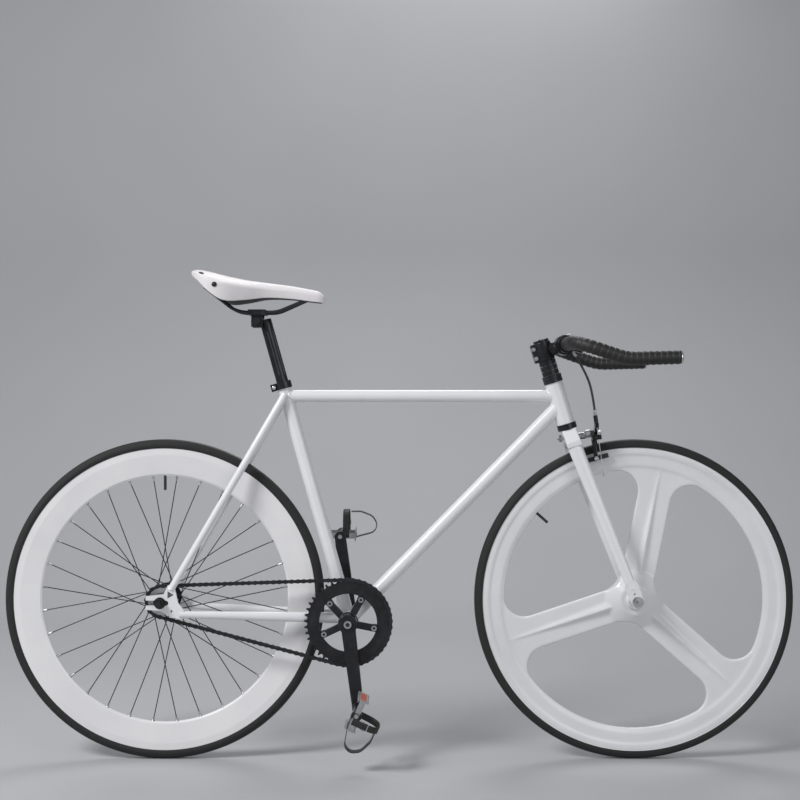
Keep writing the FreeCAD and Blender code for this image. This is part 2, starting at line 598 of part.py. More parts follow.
def fork():
    """The crown with its steerer, and the two blades with their tips."""
    top = s.fork_length
    low = s.fork_length - s.crown_height
    half = s.crown_width / 2
    arch = s.crown_arch_width / 2
    points = ((-s.crown_neck / 2, 0), (-half, -s.crown_height + s.crown_shoulder), (-half, -s.crown_height),
              (-arch, -s.crown_height), (-arch / 2, -s.crown_height + s.crown_arch_height),
              (arch / 2, -s.crown_height + s.crown_arch_height), (arch, -s.crown_height),
              (half, -s.crown_height), (half, -s.crown_height + s.crown_shoulder), (s.crown_neck / 2, 0))
    block = plate("crown_block", points, s.crown_depth, steering_place(top, -s.crown_depth / 2))
    steerer = rod("steerer_core", s.steerer_diameter / 2, on_steerer(top - s.crown_shoulder),
                  on_steerer(steerer_top))
    bore = rod("steerer_bore", s.steerer_diameter / 2 - s.steerer_wall, on_steerer(top),
               on_steerer(steerer_top))
    bolt_hole = rod("crown_bolt_hole", s.brake_bolt_diameter / 2, caliper_at(0, 0, -s.crown_depth),
                    caliper_at(0, 0, s.crown_depth))
    node("fork_crown", cut("crown", fuse("crown_steerer", block, steerer), bore, bolt_hole))
    start = on_steerer(low, 0, -s.blade_spread / 2)
    tip_middle = -(s.front_spacing + s.tip_thickness) / 2
    end = front_axle + LEFT * tip_middle
    run = end - start
    across = Rotation(FORWARD, LEFT, run, "ZXY")
    stop = start + run * (1 - (s.tip_length - s.tip_thickness) / run.Length)
    sections = []
    for name, at, wide, thick in (("top", start, s.blade_width, s.blade_thickness),
                                  ("end", stop, s.blade_end_width, s.blade_end_thickness)):
        sections.append(add("Part::Ellipse", "blade_" + name, Placement(at, across),
                            MajorRadius=wide / 2, MinorRadius=thick / 2))
    loft = add("Part::Loft", "blade_loft", Sections=sections, Solid=True, Ruled=True)
    blade = cut("blade_trimmed", loft, nodes["fork_crown"])
    inner = front_axle - LEFT * (s.front_spacing / 2)
    tip_run = Vector(run.x, 0, run.z).normalize()
    tip_place = Placement(inner, Rotation(-tip_run, FORWARD, RIGHT, "ZXY"))
    tip = strip("tip_strip", ((0, 0), (s.tip_length, 0)), 2 * s.tip_radius, s.tip_thickness, tip_place)
    hole = rod("tip_axle_hole", s.axle_diameter / 2, front_axle, front_axle + RIGHT * s.front_spacing)
    eyelet_at = front_axle - tip_run * s.tip_hole_rise
    eyelet = rod("tip_eyelet", s.tip_hole / 2, eyelet_at, eyelet_at + RIGHT * s.front_spacing)
    blade_tip = cut("blade_tip", fuse("blade_and_tip", blade, tip), hole, eyelet)
    node("fork_blades", pair("blade_pair", blade_tip))


def stem():
    """Steerer clamp, neck and bar clamp, with the faceplate cut off in front."""
    bar_at = on_steerer(stem_middle, s.stem_reach)
    barrel = rod("stem_barrel", s.stem_diameter / 2, on_steerer(stem_low), on_steerer(steerer_top))
    neck = rod("stem_neck_rod", s.stem_neck / 2, on_steerer(stem_middle), bar_at)
    half = LEFT * (s.bar_clamp_width / 2)
    clamp = rod("stem_clamp_core", s.bar_clamp_diameter / 2, bar_at - half, bar_at + half)
    ear_set = -s.stem_diameter / 2 - s.stem_ear_length / 2 + s.stem_bolt_diameter / 2
    flat = Placement(Vector(0, 0, 0), Rotation(FORWARD, -90))
    ear_place = steering_place(stem_low, ear_set).multiply(flat)
    ear = box("stem_ear", s.stem_ear_width, s.stem_ear_length, s.stem_height, ear_place)
    steerer = rod("stem_steerer_hole", s.steerer_diameter / 2, on_steerer(stem_low),
                  on_steerer(steerer_top))
    bar = rod("stem_bar_hole", s.bar_sleeve_diameter / 2, bar_at - LEFT * s.bar_clamp_width,
              bar_at + LEFT * s.bar_clamp_width)
    bolts = []
    for index, (rise, left) in enumerate(((1, 1), (1, -1), (-1, 1), (-1, -1))):
        place = steering_place(stem_middle + rise * s.stem_bolt_rise, s.stem_reach, left * s.stem_bolt_set)
        front = math.sqrt((s.bar_clamp_diameter / 2) ** 2 - s.stem_bolt_rise ** 2) + s.faceplate_gap
        head = disc("face_head_%d" % index, s.stem_bolt_head / 2, s.stem_bolt_head_height,
                    place.multVec(Vector(0, 0, front - s.stem_bolt_head_height / 2)), steer_ahead)
        shank = disc("face_shank_%d" % index, s.stem_bolt_diameter / 2, s.stem_bolt_length,
                     place.multVec(Vector(0, 0, front)), -steer_ahead)
        bolts.append(fuse("face_bolt_%d" % index, head, shank))
    for index, rise in enumerate((1, -1)):
        at = on_steerer(stem_middle + rise * s.stem_height / 4, ear_set - s.faceplate_gap)
        side = RIGHT * (s.stem_ear_width / 2)
        head = disc("ear_head_%d" % index, s.stem_bolt_head / 2, s.stem_bolt_head_height, at + side, RIGHT)
        shank = rod("ear_shank_%d" % index, s.stem_bolt_diameter / 2, at + side, at - side)
        bolts.append(fuse("ear_bolt_%d" % index, head, shank))
    cap_top = on_steerer(steerer_top + s.cap_height)
    bolts.append(disc("cap_bolt", s.stem_bolt_head / 2, s.stem_bolt_diameter / 2, cap_top, steer_up))
    bolt_group = group("stem_bolt_group", *bolts)
    face_size = 2 * s.bar_clamp_width
    front_half = box("stem_front", face_size, face_size, face_size,
                     steering_place(stem_middle, s.stem_reach))
    front_gap = box("stem_front_gap", face_size, face_size, face_size,
                    steering_place(stem_middle, s.stem_reach - s.faceplate_gap))
    rear_clamp = cut("stem_rear_clamp", fuse("stem_neck_clamp", neck, clamp), front_gap)
    body = fuse("stem_fused", barrel, ear, rear_clamp)
    node("stem", cut("stem_body", body, fuse("stem_bores", steerer, bar), bolt_group))
    front_clamp = add("Part::Common", "stem_front_clamp", Base=clamp, Tool=front_half)
    node("stem_faceplate", cut("stem_face", front_clamp, bar, bolt_group))
    node("stem_bolts", bolt_group)


def bar_points():
    """Corners of the right half of the bar, from the stem to the tip."""
    bar_at = on_steerer(stem_middle, s.stem_reach)
    bend = bar_at - LEFT * (s.bar_width / 2)
    dip = bend + Vector(s.bar_forward, 0, -s.bar_drop)
    tip = dip + Vector(s.bar_horn, 0, s.bar_horn_rise)
    return bar_at, bend, dip, tip


def across_bike(point):
    return Vector(point.x, -point.y, point.z)


def handlebar():
    bar_at, bend, dip, tip = bar_points()
    points = [tip, dip, bend, across_bike(bend), across_bike(dip), across_bike(tip)]
    radii = [s.bar_dip, s.bar_corner, s.bar_corner, s.bar_dip]
    core = bent("bar_core", s.bar_diameter / 2, points, radii)
    bore = bent("bar_bore", s.bar_diameter / 2 - s.bar_wall, points, radii)
    half = LEFT * (s.bar_sleeve_length / 2)
    sleeve = rod("bar_sleeve", s.bar_sleeve_diameter / 2, bar_at - half, bar_at + half)
    node("handlebar", cut("bar_tube", fuse("bar_and_sleeve", core, sleeve), bore))
    flat = bar_at - LEFT * s.tape_start
    tape_points = [tip, dip, bend, flat]
    tape_radii = [s.bar_dip, s.bar_corner]
    tape = bent("tape_core", s.tape_diameter / 2, tape_points, tape_radii)
    tape_bore = bent("tape_bore", s.bar_diameter / 2 + s.running_clearance, tape_points, tape_radii)
    node("bar_tape", pair("tape_pair", cut("tape_right", tape, tape_bore)))
    out = (tip - dip).normalize()
    button = disc("plug_button", s.plug_diameter / 2, s.plug_length, tip, out)
    plug = disc("plug_shank", s.bar_diameter / 2 - s.bar_wall - s.seat_gap, s.plug_insert, tip, -out)
    node("bar_end_plugs", pair("plug_pair", fuse("plug_right", button, plug)))


def lever():
    """The brake lever beside the stem, on a clamp round the bar."""
    half = s.lever_clamp_width / 2
    bar_at = on_steerer(stem_middle, s.stem_reach)
    inner = bar_at - LEFT * (s.lever_clamp_set - half)
    outer = bar_at - LEFT * (s.lever_clamp_set + half)
    ring = rod("lever_ring", s.lever_clamp_diameter / 2, inner, outer)
    lever_ahead = Vector(cosine(s.lever_droop), 0, -sine(s.lever_droop))
    lever_up = Vector(sine(s.lever_droop), 0, cosine(s.lever_droop))
    flat = Placement(bar_at - LEFT * s.lever_clamp_set, Rotation(RIGHT, lever_ahead, lever_up, "ZXY"))
    boss_low = flat.multiply(Placement(Vector(0, 0, -s.lever_thickness), Rotation()))
    boss = strip("lever_boss", ((0, 0), (0, s.lever_pivot_forward)), 2 * s.lever_pivot_radius,
                 s.lever_thickness, boss_low)
    pin_at = flat.multVec(Vector(0, s.lever_pivot_forward, -s.lever_thickness))
    pin_length = 2 * s.lever_thickness + 2 * s.side_play
    pin = disc("lever_pin", s.lever_pin_diameter / 2, pin_length, pin_at, lever_up)
    bar_hole = rod("lever_bar_hole", s.bar_diameter / 2, inner + LEFT * s.overrun, outer - LEFT * s.overrun)
    node("brake_lever_clamp", cut("lever_clamp", fuse("lever_clamp_core", ring, boss, pin), bar_hole))
    blade_at = flat.multiply(Placement(Vector(0, 0, s.side_play), Rotation()))
    pivot = s.lever_pivot_forward
    points = ((0, pivot), (s.lever_elbow, pivot + s.lever_sweep), (s.lever_length, pivot + s.lever_sweep))
    blade = strip("lever_blade", points, s.lever_width, s.lever_thickness, blade_at)
    hub = disc("lever_hub", s.lever_pivot_radius, s.lever_thickness,
               blade_at.multVec(Vector(0, pivot, 0)), lever_up)
    hole = disc("lever_hole", s.lever_pin_diameter / 2 + s.running_clearance, s.lever_thickness,
                blade_at.multVec(Vector(0, pivot, 0)), lever_up)
    node("brake_lever", cut("lever_bored", fuse("lever_core", blade, hub), hole))


# Front brake, in a plane of its own in front of the crown

def caliper_at(left, rise, ahead):
    """A point of the brake, measured from its bolt in the crown."""
    up = Vector(-sine(s.brake_lean), 0, cosine(s.brake_lean))
    out = Vector(cosine(s.brake_lean), 0, sine(s.brake_lean))
    return on_steerer(s.brake_bolt_height) + LEFT * left + up * rise + out * ahead


def caliper_place(ahead):
    """Local X to the left, Y up the brake and Z forward."""
    up = Vector(-sine(s.brake_lean), 0, cosine(s.brake_lean))
    out = Vector(cosine(s.brake_lean), 0, sine(s.brake_lean))
    return Placement(caliper_at(0, 0, ahead), Rotation(LEFT, up, out, "ZXY"))


def pad(name, side, arm_plane):
    """A brake pad with the post that holds it in its arm; side is 1 on the left and -1 on the right."""
    near = side * (s.mag_width / 2 + s.pad_gap)
    far = side * (s.mag_width / 2 + s.pad_gap + s.pad_thickness)
    middle = s.caliper_plane + s.arm_thickness + s.arm_gap / 2
    along_rim = Rotation(Vector(1, 0, 0), -float(s.pad_tilt))
    tilted = Placement(Vector((near + far) / 2, -s.pad_drop, 0), along_rim)
    from_end = Placement(Vector(0, 0, -s.pad_length / 2), Rotation())
    at = caliper_place(middle).multiply(tilted).multiply(from_end)
    block = box(name + "_block", s.pad_thickness, s.pad_height, s.pad_length, at)
    post_plane = arm_plane + s.arm_thickness / 2
    start = caliper_at((near + far) / 2, -s.pad_drop, post_plane)
    end = caliper_at(far + side * s.pad_post_length, -s.pad_drop, post_plane)
    post = rod(name + "_post", s.pad_post / 2, start, end)
    node(name, fuse(name + "_all", block, post))
    return post


def caliper():
    right_plane = s.caliper_plane
    left_plane = s.caliper_plane + s.arm_thickness + s.arm_gap
    bolt_radius = s.brake_bolt_diameter / 2
    nut_back = -s.crown_depth / 2 - s.brake_bolt_nut
    bolt = rod("brake_bolt", bolt_radius, caliper_at(0, 0, nut_back - s.brake_bolt_nut),
               caliper_at(0, 0, s.brake_bolt_forward))
    forward = caliper_at(0, 0, 1) - caliper_at(0, 0, 0)
    rear_nut = hexagon("brake_rear_nut", 2 * s.brake_bolt_diameter, s.brake_bolt_nut,
                       caliper_at(0, 0, nut_back - s.brake_bolt_nut / 2), forward)
    bracket_plane = s.caliper_plane - s.arm_gap / 2 - s.bridge_thickness
    spacer = rod("brake_spacer", s.bridge_width / 2, caliper_at(0, 0, s.crown_depth / 2 - s.arm_gap),
                 caliper_at(0, 0, bracket_plane))
    bar = strip("brake_bar", ((0, 0), (-s.side_pivot_set, s.side_pivot_rise)), s.bridge_width,
                s.bridge_thickness, caliper_place(bracket_plane))
    side_end = left_plane - s.arm_gap / 2
    side_pin = rod("brake_side_pin", bolt_radius,
                   caliper_at(-s.side_pivot_set, s.side_pivot_rise, bracket_plane),
                   caliper_at(-s.side_pivot_set, s.side_pivot_rise, side_end))
    nut_start = left_plane + s.arm_thickness + s.arm_gap / 2
    front_nut = hexagon("brake_front_nut", 2 * s.brake_bolt_diameter, s.brake_bolt_nut,
                        caliper_at(0, 0, nut_start), forward)
    frame_part = fuse("bridge_fused", bolt, rear_nut, spacer, bar, side_pin, front_nut)
    node("caliper_bridge", cut("bridge_trimmed", frame_part, nodes["fork_crown"]))
    wire_plane = left_plane + s.arm_thickness / 2
    wire_top = s.adjuster_rise + s.adjuster_length
    wire = rod("brake_wire", s.wire_diameter / 2, caliper_at(-s.adjuster_set, -s.wire_tail, wire_plane),
               caliper_at(-s.adjuster_set, wire_top, wire_plane))
    wire_hole = rod("brake_wire_hole", s.wire_hole / 2, caliper_at(-s.adjuster_set, -s.wire_tail, wire_plane),
                    caliper_at(-s.adjuster_set, wire_top + s.overrun, wire_plane))
    left_post = pad("brake_pad_left", 1, left_plane)
    right_post = pad("brake_pad_right", -1, right_plane)
    left_points = ((-s.adjuster_set, s.adjuster_rise), (0, 0),
                   (s.arm_spread - s.arm_shoulder, -s.arm_shoulder), (s.arm_spread, -s.pad_drop))
    left_arm = strip("left_arm", left_points, s.arm_width, s.arm_thickness, caliper_place(left_plane))
    adjuster = rod("adjuster", s.adjuster_diameter / 2,
                   caliper_at(-s.adjuster_set, s.adjuster_rise, wire_plane),
                   caliper_at(-s.adjuster_set, wire_top, wire_plane))
    left_pivot = rod("left_pivot", bolt_radius + s.running_clearance, caliper_at(0, 0, left_plane),
                     caliper_at(0, 0, left_plane + s.arm_thickness))
    node("caliper_arm_left", cut("left_arm_bored", fuse("left_arm_core", left_arm, adjuster), left_pivot,
                                 wire_hole, left_post))
    right_points = ((-s.adjuster_set, -s.anchor_drop), (-s.side_pivot_set, s.side_pivot_rise),
                    (-s.arm_spread, -s.pad_drop))
    right_arm = strip("right_arm", right_points, s.arm_width, s.arm_thickness, caliper_place(right_plane))
    anchor = rod("anchor", s.anchor_diameter / 2, caliper_at(-s.adjuster_set, -s.anchor_drop, right_plane),
                 caliper_at(-s.adjuster_set, -s.anchor_drop, right_plane + s.arm_thickness + s.anchor_length))
    right_pivot = rod("right_pivot", bolt_radius + s.running_clearance,
                      caliper_at(-s.side_pivot_set, s.side_pivot_rise, right_plane),
                      caliper_at(-s.side_pivot_set, s.side_pivot_rise, right_plane + s.arm_thickness))
    node("caliper_arm_right", cut("right_arm_bored", fuse("right_arm_core", right_arm, anchor), right_pivot,
                                  wire_hole, right_post))
    housing_end = caliper_at(-s.adjuster_set, wire_top + s.housing_gap, wire_plane)
    start = on_steerer(stem_middle - s.housing_drop, s.stem_reach + s.housing_forward, -s.lever_clamp_set)
    reach = housing_end - start
    bow = steer_ahead * s.housing_forward
    points = [start, start + reach / 3 + bow, start + reach * 2 / 3 + bow, housing_end]
    lengths = [a.distanceToPoint(b) for a, b in zip(points, points[1:])]
    bend_share = 0.45
    radii = []
    for index in (1, 2):
        turn = math.pi - (points[index - 1] - points[index]).getAngle(points[index + 1] - points[index])
        radii.append(bend_share * min(lengths[index - 1:index + 1]) / math.tan(turn / 2))
    housing = bent("cable_housing", s.housing_diameter / 2, points, radii)
    doc.recompute()
    even_volume = math.pi * float(s.housing_diameter / 2) ** 2 * rounded(points, radii).Length
    print("cable bend radii:", [round(float(radius), 1) for radius in radii])
    print("cable volume over section times length:", round(housing.Shape.Volume / even_volume, 4))
    node("brake_cable_housing", group("brake_cable_all", housing, wire))


# Wheels

def tyre(name, centre, rim_radius):
    """A hollow tyre that stands on the edges of its rim."""
    place = wheel_place(centre)
    middle = s.tyre_radius - s.tyre_width / 2
    outer = add("Part::Torus", name + "_outer", place, Radius1=middle, Radius2=s.tyre_width / 2)
    hollow = add("Part::Torus", name + "_hollow", place, Radius1=middle,
                 Radius2=s.tyre_width / 2 - s.tyre_wall)
    half = s.tyre_width / 2 + s.overrun
    bed = disc(name + "_bed", rim_radius, 2 * half, centre - LEFT * half, LEFT)
    node(name, cut(name + "_cut", outer, hollow, bed))


def inner_tube(name, centre, rim_radius, rim_depth, angle):
    """The air tube with its valve, which points to the hub at an angle round the wheel."""
    place = wheel_place(centre)
    middle = s.tyre_radius - s.tyre_width / 2
    ring = add("Part::Torus", name + "_ring", place, Radius1=middle, Radius2=s.inner_tube_diameter / 2)
    spoke = Vector(cosine(angle), 0, sine(angle))
    tip = centre + spoke * (rim_radius - rim_depth - s.valve_reach)
    valve = rod(name + "_valve", s.valve_diameter / 2, tip, centre + spoke * middle)
    node(name, fuse(name + "_all", ring, valve))
    return rod(name + "_hole", s.valve_diameter / 2 + s.seat_gap, tip, centre + spoke * middle)


def mirror_outline(points):
    """Closes an outline of (radius, height) corners with its mirror image below."""
    return list(points) + [(radius, -height) for radius, height in reversed(points)]


def rear_rim(cutters):
    radius = s.rim_radius
    half = s.rim_width / 2
    tip = s.rim_tip_width / 2
    floor = radius - s.rim_depth
    well = radius - s.rim_well
    upper = ((well, half - s.rim_wall), (radius, half - s.rim_wall), (radius, half),
             (radius - s.rim_track, half), (floor + s.rim_tip_round, tip), (floor, tip / 2))
    shell = turned("rim_shell", mirror_outline(upper), wheel_place(rear_axle))
    inside = ((well - s.rim_wall, half - s.rim_wall), (radius - s.rim_track, half - s.rim_wall),
              (floor + s.rim_tip_round, tip - s.rim_wall))
    hollow = turned("rim_hollow", mirror_outline(inside), wheel_place(rear_axle))
    node("rear_rim", cut("rim_drilled", shell, hollow, *cutters))


def rear_spokes():
    """Spokes crossed three times, 16 to each flange, and the nipples that hold them in the rim."""
    count = int(s.spoke_count)
    flange = s.hub_flange_spacing / 2
    half = s.hub_flange_thickness / 2
    radius = s.spoke_diameter / 2
    rim_floor = s.rim_radius - s.rim_depth
    step = 360 / count
    crossing = 3 * 720 / count
    spokes = []
    nipples = []
    for index in range(count):
        side = 1 if index % 2 else -1
        leading = 1 if index // 2 % 2 else -1
        rim_angle = step * (index + 0.5)
        hub_angle = rim_angle + leading * (crossing + step / 2)
        hole = rear_axle + Vector(cosine(hub_angle), 0, sine(hub_angle)) * s.hub_hole_radius
        outset = half + radius + s.seat_gap + (s.spoke_outset if leading > 0 else 0)
        hub = hole + LEFT * (side * (flange + leading * outset))
        back = hole + LEFT * (side * (flange - leading * half))
        seat = rear_axle + Vector(cosine(rim_angle), 0, sine(rim_angle)) * rim_floor
        run = (seat - hub).normalize()
        joint = seat - run * s.nipple_reach
        wire = rod("spoke_run_%d" % index, radius, hub, joint)
        elbow = rod("spoke_elbow_%d" % index, radius, hub, back)
        bend = add("Part::Sphere", "spoke_bend_%d" % index, Placement(hub, Rotation()), Radius=radius)
        head = disc("spoke_head_%d" % index, s.spoke_head / 2, radius, back, LEFT * (-leading * side))
        spokes.append(fuse("spoke_%d" % index, wire, elbow, bend, head))
        nipples.append(rod("nipple_%d" % index, s.nipple_diameter / 2, joint, seat + run * s.nipple_grip))
    spoke_group = node("rear_spokes", group("spokes_all", *spokes))
    return spoke_group, node("rear_nipples", group("nipples_all", *nipples))


def rear_hub(spokes):
    """The hub shell with two flanges and the seat for the cog, its bearings, axle and nuts."""
    flange = s.hub_flange_spacing / 2
    half = s.hub_flange_thickness / 2
    end = flange + half + s.hub_cog_seat_length + s.hub_end_length
    bore = s.axle_diameter / 2 + s.side_play
    seat = s.bearing_radius
    pocket = end - s.bearing_width
    seat_end = flange + half + s.hub_cog_seat_length
    lip = seat + s.hub_end_wall
    upper = ((bore, pocket), (seat, pocket), (seat, end), (lip, end), (lip, seat_end),
             (s.hub_cog_seat_radius, seat_end), (s.hub_cog_seat_radius, flange + half),
             (s.hub_flange_radius, flange + half), (s.hub_flange_radius, flange - half),
             (s.hub_barrel_radius, flange - half))
    hub = turned("rear_hub_turned", mirror_outline(upper), wheel_place(rear_axle))
    node("rear_hub_shell", cut("rear_hub_drilled", hub, spokes))
    bearings("rear_hub_bearings", rear_axle, end)
    axle("rear_axle", rear_axle, s.rear_spacing, end, s.dropout_thickness)
    nuts("rear_axle_nuts", rear_axle, s.rear_spacing / 2 + s.dropout_thickness)


def bearings(name, centre, end):
    """Two bearing rings, flush with the ends of a hub."""
    inner = s.axle_diameter / 2 + s.running_clearance
    low = end - s.bearing_width
    points = ((inner, low), (s.bearing_radius, low), (s.bearing_radius, end), (inner, end))
    node(name, pair(name + "_pair", turned(name + "_ring", points, wheel_place(centre))))


def axle(name, centre, spacing, hub_end, plate_thickness):
    """A threaded axle with shoulders from the bearings to the dropouts."""
    thin = s.axle_diameter / 2
    inner = hub_end + s.side_play
    outer = spacing / 2 + plate_thickness + s.axle_overhang
    upper = ((0, outer), (thin, outer), (thin, spacing / 2), (s.axle_shoulder_radius, spacing / 2),
             (s.axle_shoulder_radius, inner), (thin, inner))
    node(name, turned(name + "_turned", mirror_outline(upper), wheel_place(centre)))


def nuts(name, centre, face):
    """A flanged nut on each end of an axle."""
    base = centre + LEFT * face
    washer = disc(name + "_washer", s.washer_radius, s.washer_thickness, base, LEFT)
    body = hexagon(name + "_hex", s.nut_width, s.nut_height, base + LEFT * s.washer_thickness, LEFT)
    hole = disc(name + "_hole", s.axle_diameter / 2, s.nut_height + s.washer_thickness, base, LEFT)
    node(name, pair(name + "_pair", cut(name + "_left", fuse(name + "_core", washer, body), hole)))


def runs_across(edge):
    """Whether an edge is straight and parallel to the axles."""
    return len(edge.Vertexes) == 2 and abs(edge.tangentAt(edge.FirstParameter).dot(LEFT)) > 1 / 2


def window_cutter():
    """One opening of the cast wheel, between two spokes, with round corners."""
    rim = float(s.mag_radius - s.mag_depth)
    half = float(s.mag_spoke_width / 2)
    depth = float(s.mag_width + 2 * s.overrun)
    start = float(s.mag_spoke_angle)
    turn = 360 / float(s.mag_spoke_count)
    first = Vector(cosine(start), 0, sine(start))
    last = Vector(cosine(start + turn), 0, sine(start + turn))
    middle = Vector(cosine(start + turn / 2), 0, sine(start + turn / 2))
    first_side = Vector(-first.z, 0, first.x)
    last_side = Vector(last.z, 0, -last.x)
    corner = middle * (half / sine(turn / 2))
    reach = math.sqrt(rim ** 2 - half ** 2)
    first_end = first * reach + first_side * half
    last_end = last * reach + last_side * half
    edges = [Part.LineSegment(corner, first_end), Part.Arc(first_end, middle * rim, last_end),
             Part.LineSegment(last_end, corner)]
    wire = Part.Wire([edge.toShape() for edge in edges])
    wire.translate(front_axle - LEFT * (depth / 2))
    prism = Part.Face(wire).extrude(LEFT * depth)
    upright = [edge for edge in prism.Edges if edge.Length > depth / 2 and runs_across(edge)]
    by_distance = sorted(upright, key=lambda edge: (edge.CenterOfMass - front_axle).Length)
    prism = prism.makeFillet(float(s.mag_hub_fillet), by_distance[:1])
    outer = [edge for edge in prism.Edges if runs_across(edge)
             and abs((edge.CenterOfMass - front_axle).Length - rim) < half / 10]
    return prism.makeFillet(float(s.mag_rim_fillet), outer)


def ridge(side):
    """The raised spine along a spoke of the cast wheel, at the first spoke's angle."""
    direction = Vector(cosine(s.mag_spoke_angle), 0, sine(s.mag_spoke_angle))
    sideways = Vector(-direction.z, 0, direction.x)
    face = s.mag_web / 2
    wires = []
    rim = s.mag_radius - s.mag_depth + s.mag_slope
    for distance, wide, high in ((s.mag_neck_radius, s.mag_ridge_width, s.mag_ridge_height),
                                 (rim, s.mag_ridge_tip, s.mag_ridge_tip / 3)):
        at = front_axle + direction * distance
        low = LEFT * (side * face / 2)
        base = LEFT * (side * face)
        top = LEFT * (side * (face + high))
        points = [at + sideways * (wide / 2) + low, at + sideways * (wide / 2) + base, at + top,
                  at - sideways * (wide / 2) + base, at - sideways * (wide / 2) + low]
        wires.append(Part.makePolygon(points + points[:1]))
    return Part.makeLoft(wires, True, True)


def front_wheel(valve_hole):
    radius = s.mag_radius
    half = s.mag_width / 2
    web = s.mag_web / 2
    inner = radius - s.mag_depth
    well = radius - s.mag_well
    end = s.mag_neck_width / 2
    pocket = end - s.bearing_width
    side = half - s.mag_ledge
    hub = s.mag_hub_width / 2
    upper = ((s.axle_diameter / 2 + s.side_play, pocket), (s.bearing_radius, pocket),
             (s.bearing_radius, end), (s.mag_neck_radius, end), (s.mag_neck_radius, hub),
             (s.mag_hub_radius, hub), (s.mag_hub_cone, web), (inner + s.mag_slope / 2, web),
             (inner + s.mag_slope, side), (radius - s.mag_band, side),
             (radius - s.mag_band + s.mag_ledge, half), (radius, half),
             (radius, half - s.mag_wall), (well, half - s.mag_wall))
    disc_body = turned("mag_disc", mirror_outline(upper), wheel_place(front_axle))
    inside = ((inner + s.mag_slope + s.mag_wall, side - s.mag_wall), (well - s.mag_wall, side - s.mag_wall))
    hollow = turned("mag_hollow", mirror_outline(inside), wheel_place(front_axle))
    cutter = window_cutter()
    spine = [ridge(1), ridge(-1)]
    windows = []
    spines = []
    for index in range(int(s.mag_spoke_count)):
        spin = Placement(Vector(0, 0, 0), Rotation(RIGHT, 360 * index / float(s.mag_spoke_count)), front_axle)
        windows.append(feature("mag_window_%d" % index, cutter.copy(), spin))
        for side, shape in enumerate(spine):
            spines.append(feature("mag_spine_%d_%d" % (index, side), shape.copy(), spin))
    bore = disc("mag_bore", s.bearing_radius, s.mag_neck_width, front_axle - LEFT * end, LEFT)
    open_disc = cut("mag_open", disc_body, hollow, *windows)
    spine_group = cut("mag_spines", fuse("mag_spine_all", *spines), bore)
    node("front_mag_wheel", cut("mag_valve_hole", fuse("mag_fused", open_disc, spine_group), valve_hole))
    bearings("front_hub_bearings", front_axle, end)
    axle("front_axle", front_axle, s.front_spacing, end, s.tip_thickness)
    nuts("front_axle_nuts", front_axle, s.front_spacing / 2 + s.tip_thickness)


# Drive: sprockets, chain, cranks and pedals

def sprocket(name, teeth, centre, phase, inner_radius):
    """A toothed ring with one round seat for each roller; phase is the angle of the first seat."""
    radius = sprocket_radius(teeth)
    tip = radius + s.tooth_height
    half = s.tooth_width / 2
    place = Placement(centre - LEFT * s.chain_line, Rotation(FORWARD, -UP, LEFT, "ZXY"))
    points = ((inner_radius, half), (tip, half))
    blank = turned(name + "_blank", mirror_outline(points), place)
    seats = []
    flare = (s.tooth_height + s.overrun) * math.tan(math.radians(s.tooth_slope))
    wide = s.tooth_seat / 2
    for index in range(int(teeth)):
        angle = phase + 360 * index / float(teeth)
        spin = Placement(centre - LEFT * (s.chain_line + half + s.overrun),
                         Rotation(RIGHT, angle).multiply(Rotation(UP, FORWARD, LEFT, "ZXY")))
        seats.append(spin)
    reach = float(s.tooth_height + s.overrun)
    depth = float(s.tooth_width + 2 * s.overrun)
    base = float(radius)
    corners = [Vector(-wide, base, 0), Vector(wide, base, 0), Vector(wide + flare, base + reach, 0),
               Vector(-wide - flare, base + reach, 0)]
    flank = Part.Face(Part.makePolygon(corners + corners[:1])).extrude(UP * depth)
    round_seat = Part.makeCylinder(float(wide), depth, Vector(0, base, 0), UP)
    gap = flank.fuse(round_seat).removeSplitter()
    cutters = []
    for spin in seats:
        copy = gap.copy()
        copy.Placement = spin
        cutters.append(copy)
    tool = feature(name + "_gaps", Part.Compound(cutters))
    return cut(name + "_toothed", blank, tool)


def roller_centres():
    """Centres of the chain's rollers, one pitch apart along the closed loop, in the chain's plane."""
    large = float(sprocket_radius(s.ring_teeth))
    small = float(sprocket_radius(s.cog_teeth))
    run = rear_axle - bracket
    distance = run.Length
    lean = math.asin((large - small) / distance)
    heading = math.atan2(run.z, run.x)
    straight = distance * math.cos(lean)
    large_arc = large * (math.pi + 2 * lean)
    small_arc = small * (math.pi - 2 * lean)
    centres = []
    for index in range(int(s.chain_links)):
        along = index * float(s.chain_pitch)
        if along < large_arc:
            angle = heading - (math.pi / 2 - lean) - along / large
            point = bracket + Vector(math.cos(angle), 0, math.sin(angle)) * large
        elif along < large_arc + straight:
            angle = heading + (math.pi / 2 - lean)
            start = bracket + Vector(math.cos(angle), 0, math.sin(angle)) * large
            end = rear_axle + Vector(math.cos(angle), 0, math.sin(angle)) * small
            point = start + (end - start) * ((along - large_arc) / straight)
        elif along < large_arc + straight + small_arc:
            angle = heading + (math.pi / 2 - lean) - (along - large_arc - straight) / small
            point = rear_axle + Vector(math.cos(angle), 0, math.sin(angle)) * small
        else:
            angle = heading - (math.pi / 2 - lean)
            start = rear_axle + Vector(math.cos(angle), 0, math.sin(angle)) * small
            end = bracket + Vector(math.cos(angle), 0, math.sin(angle)) * large
            point = start + (end - start) * ((along - large_arc - straight - small_arc) / straight)
        centres.append(point)
    return centres


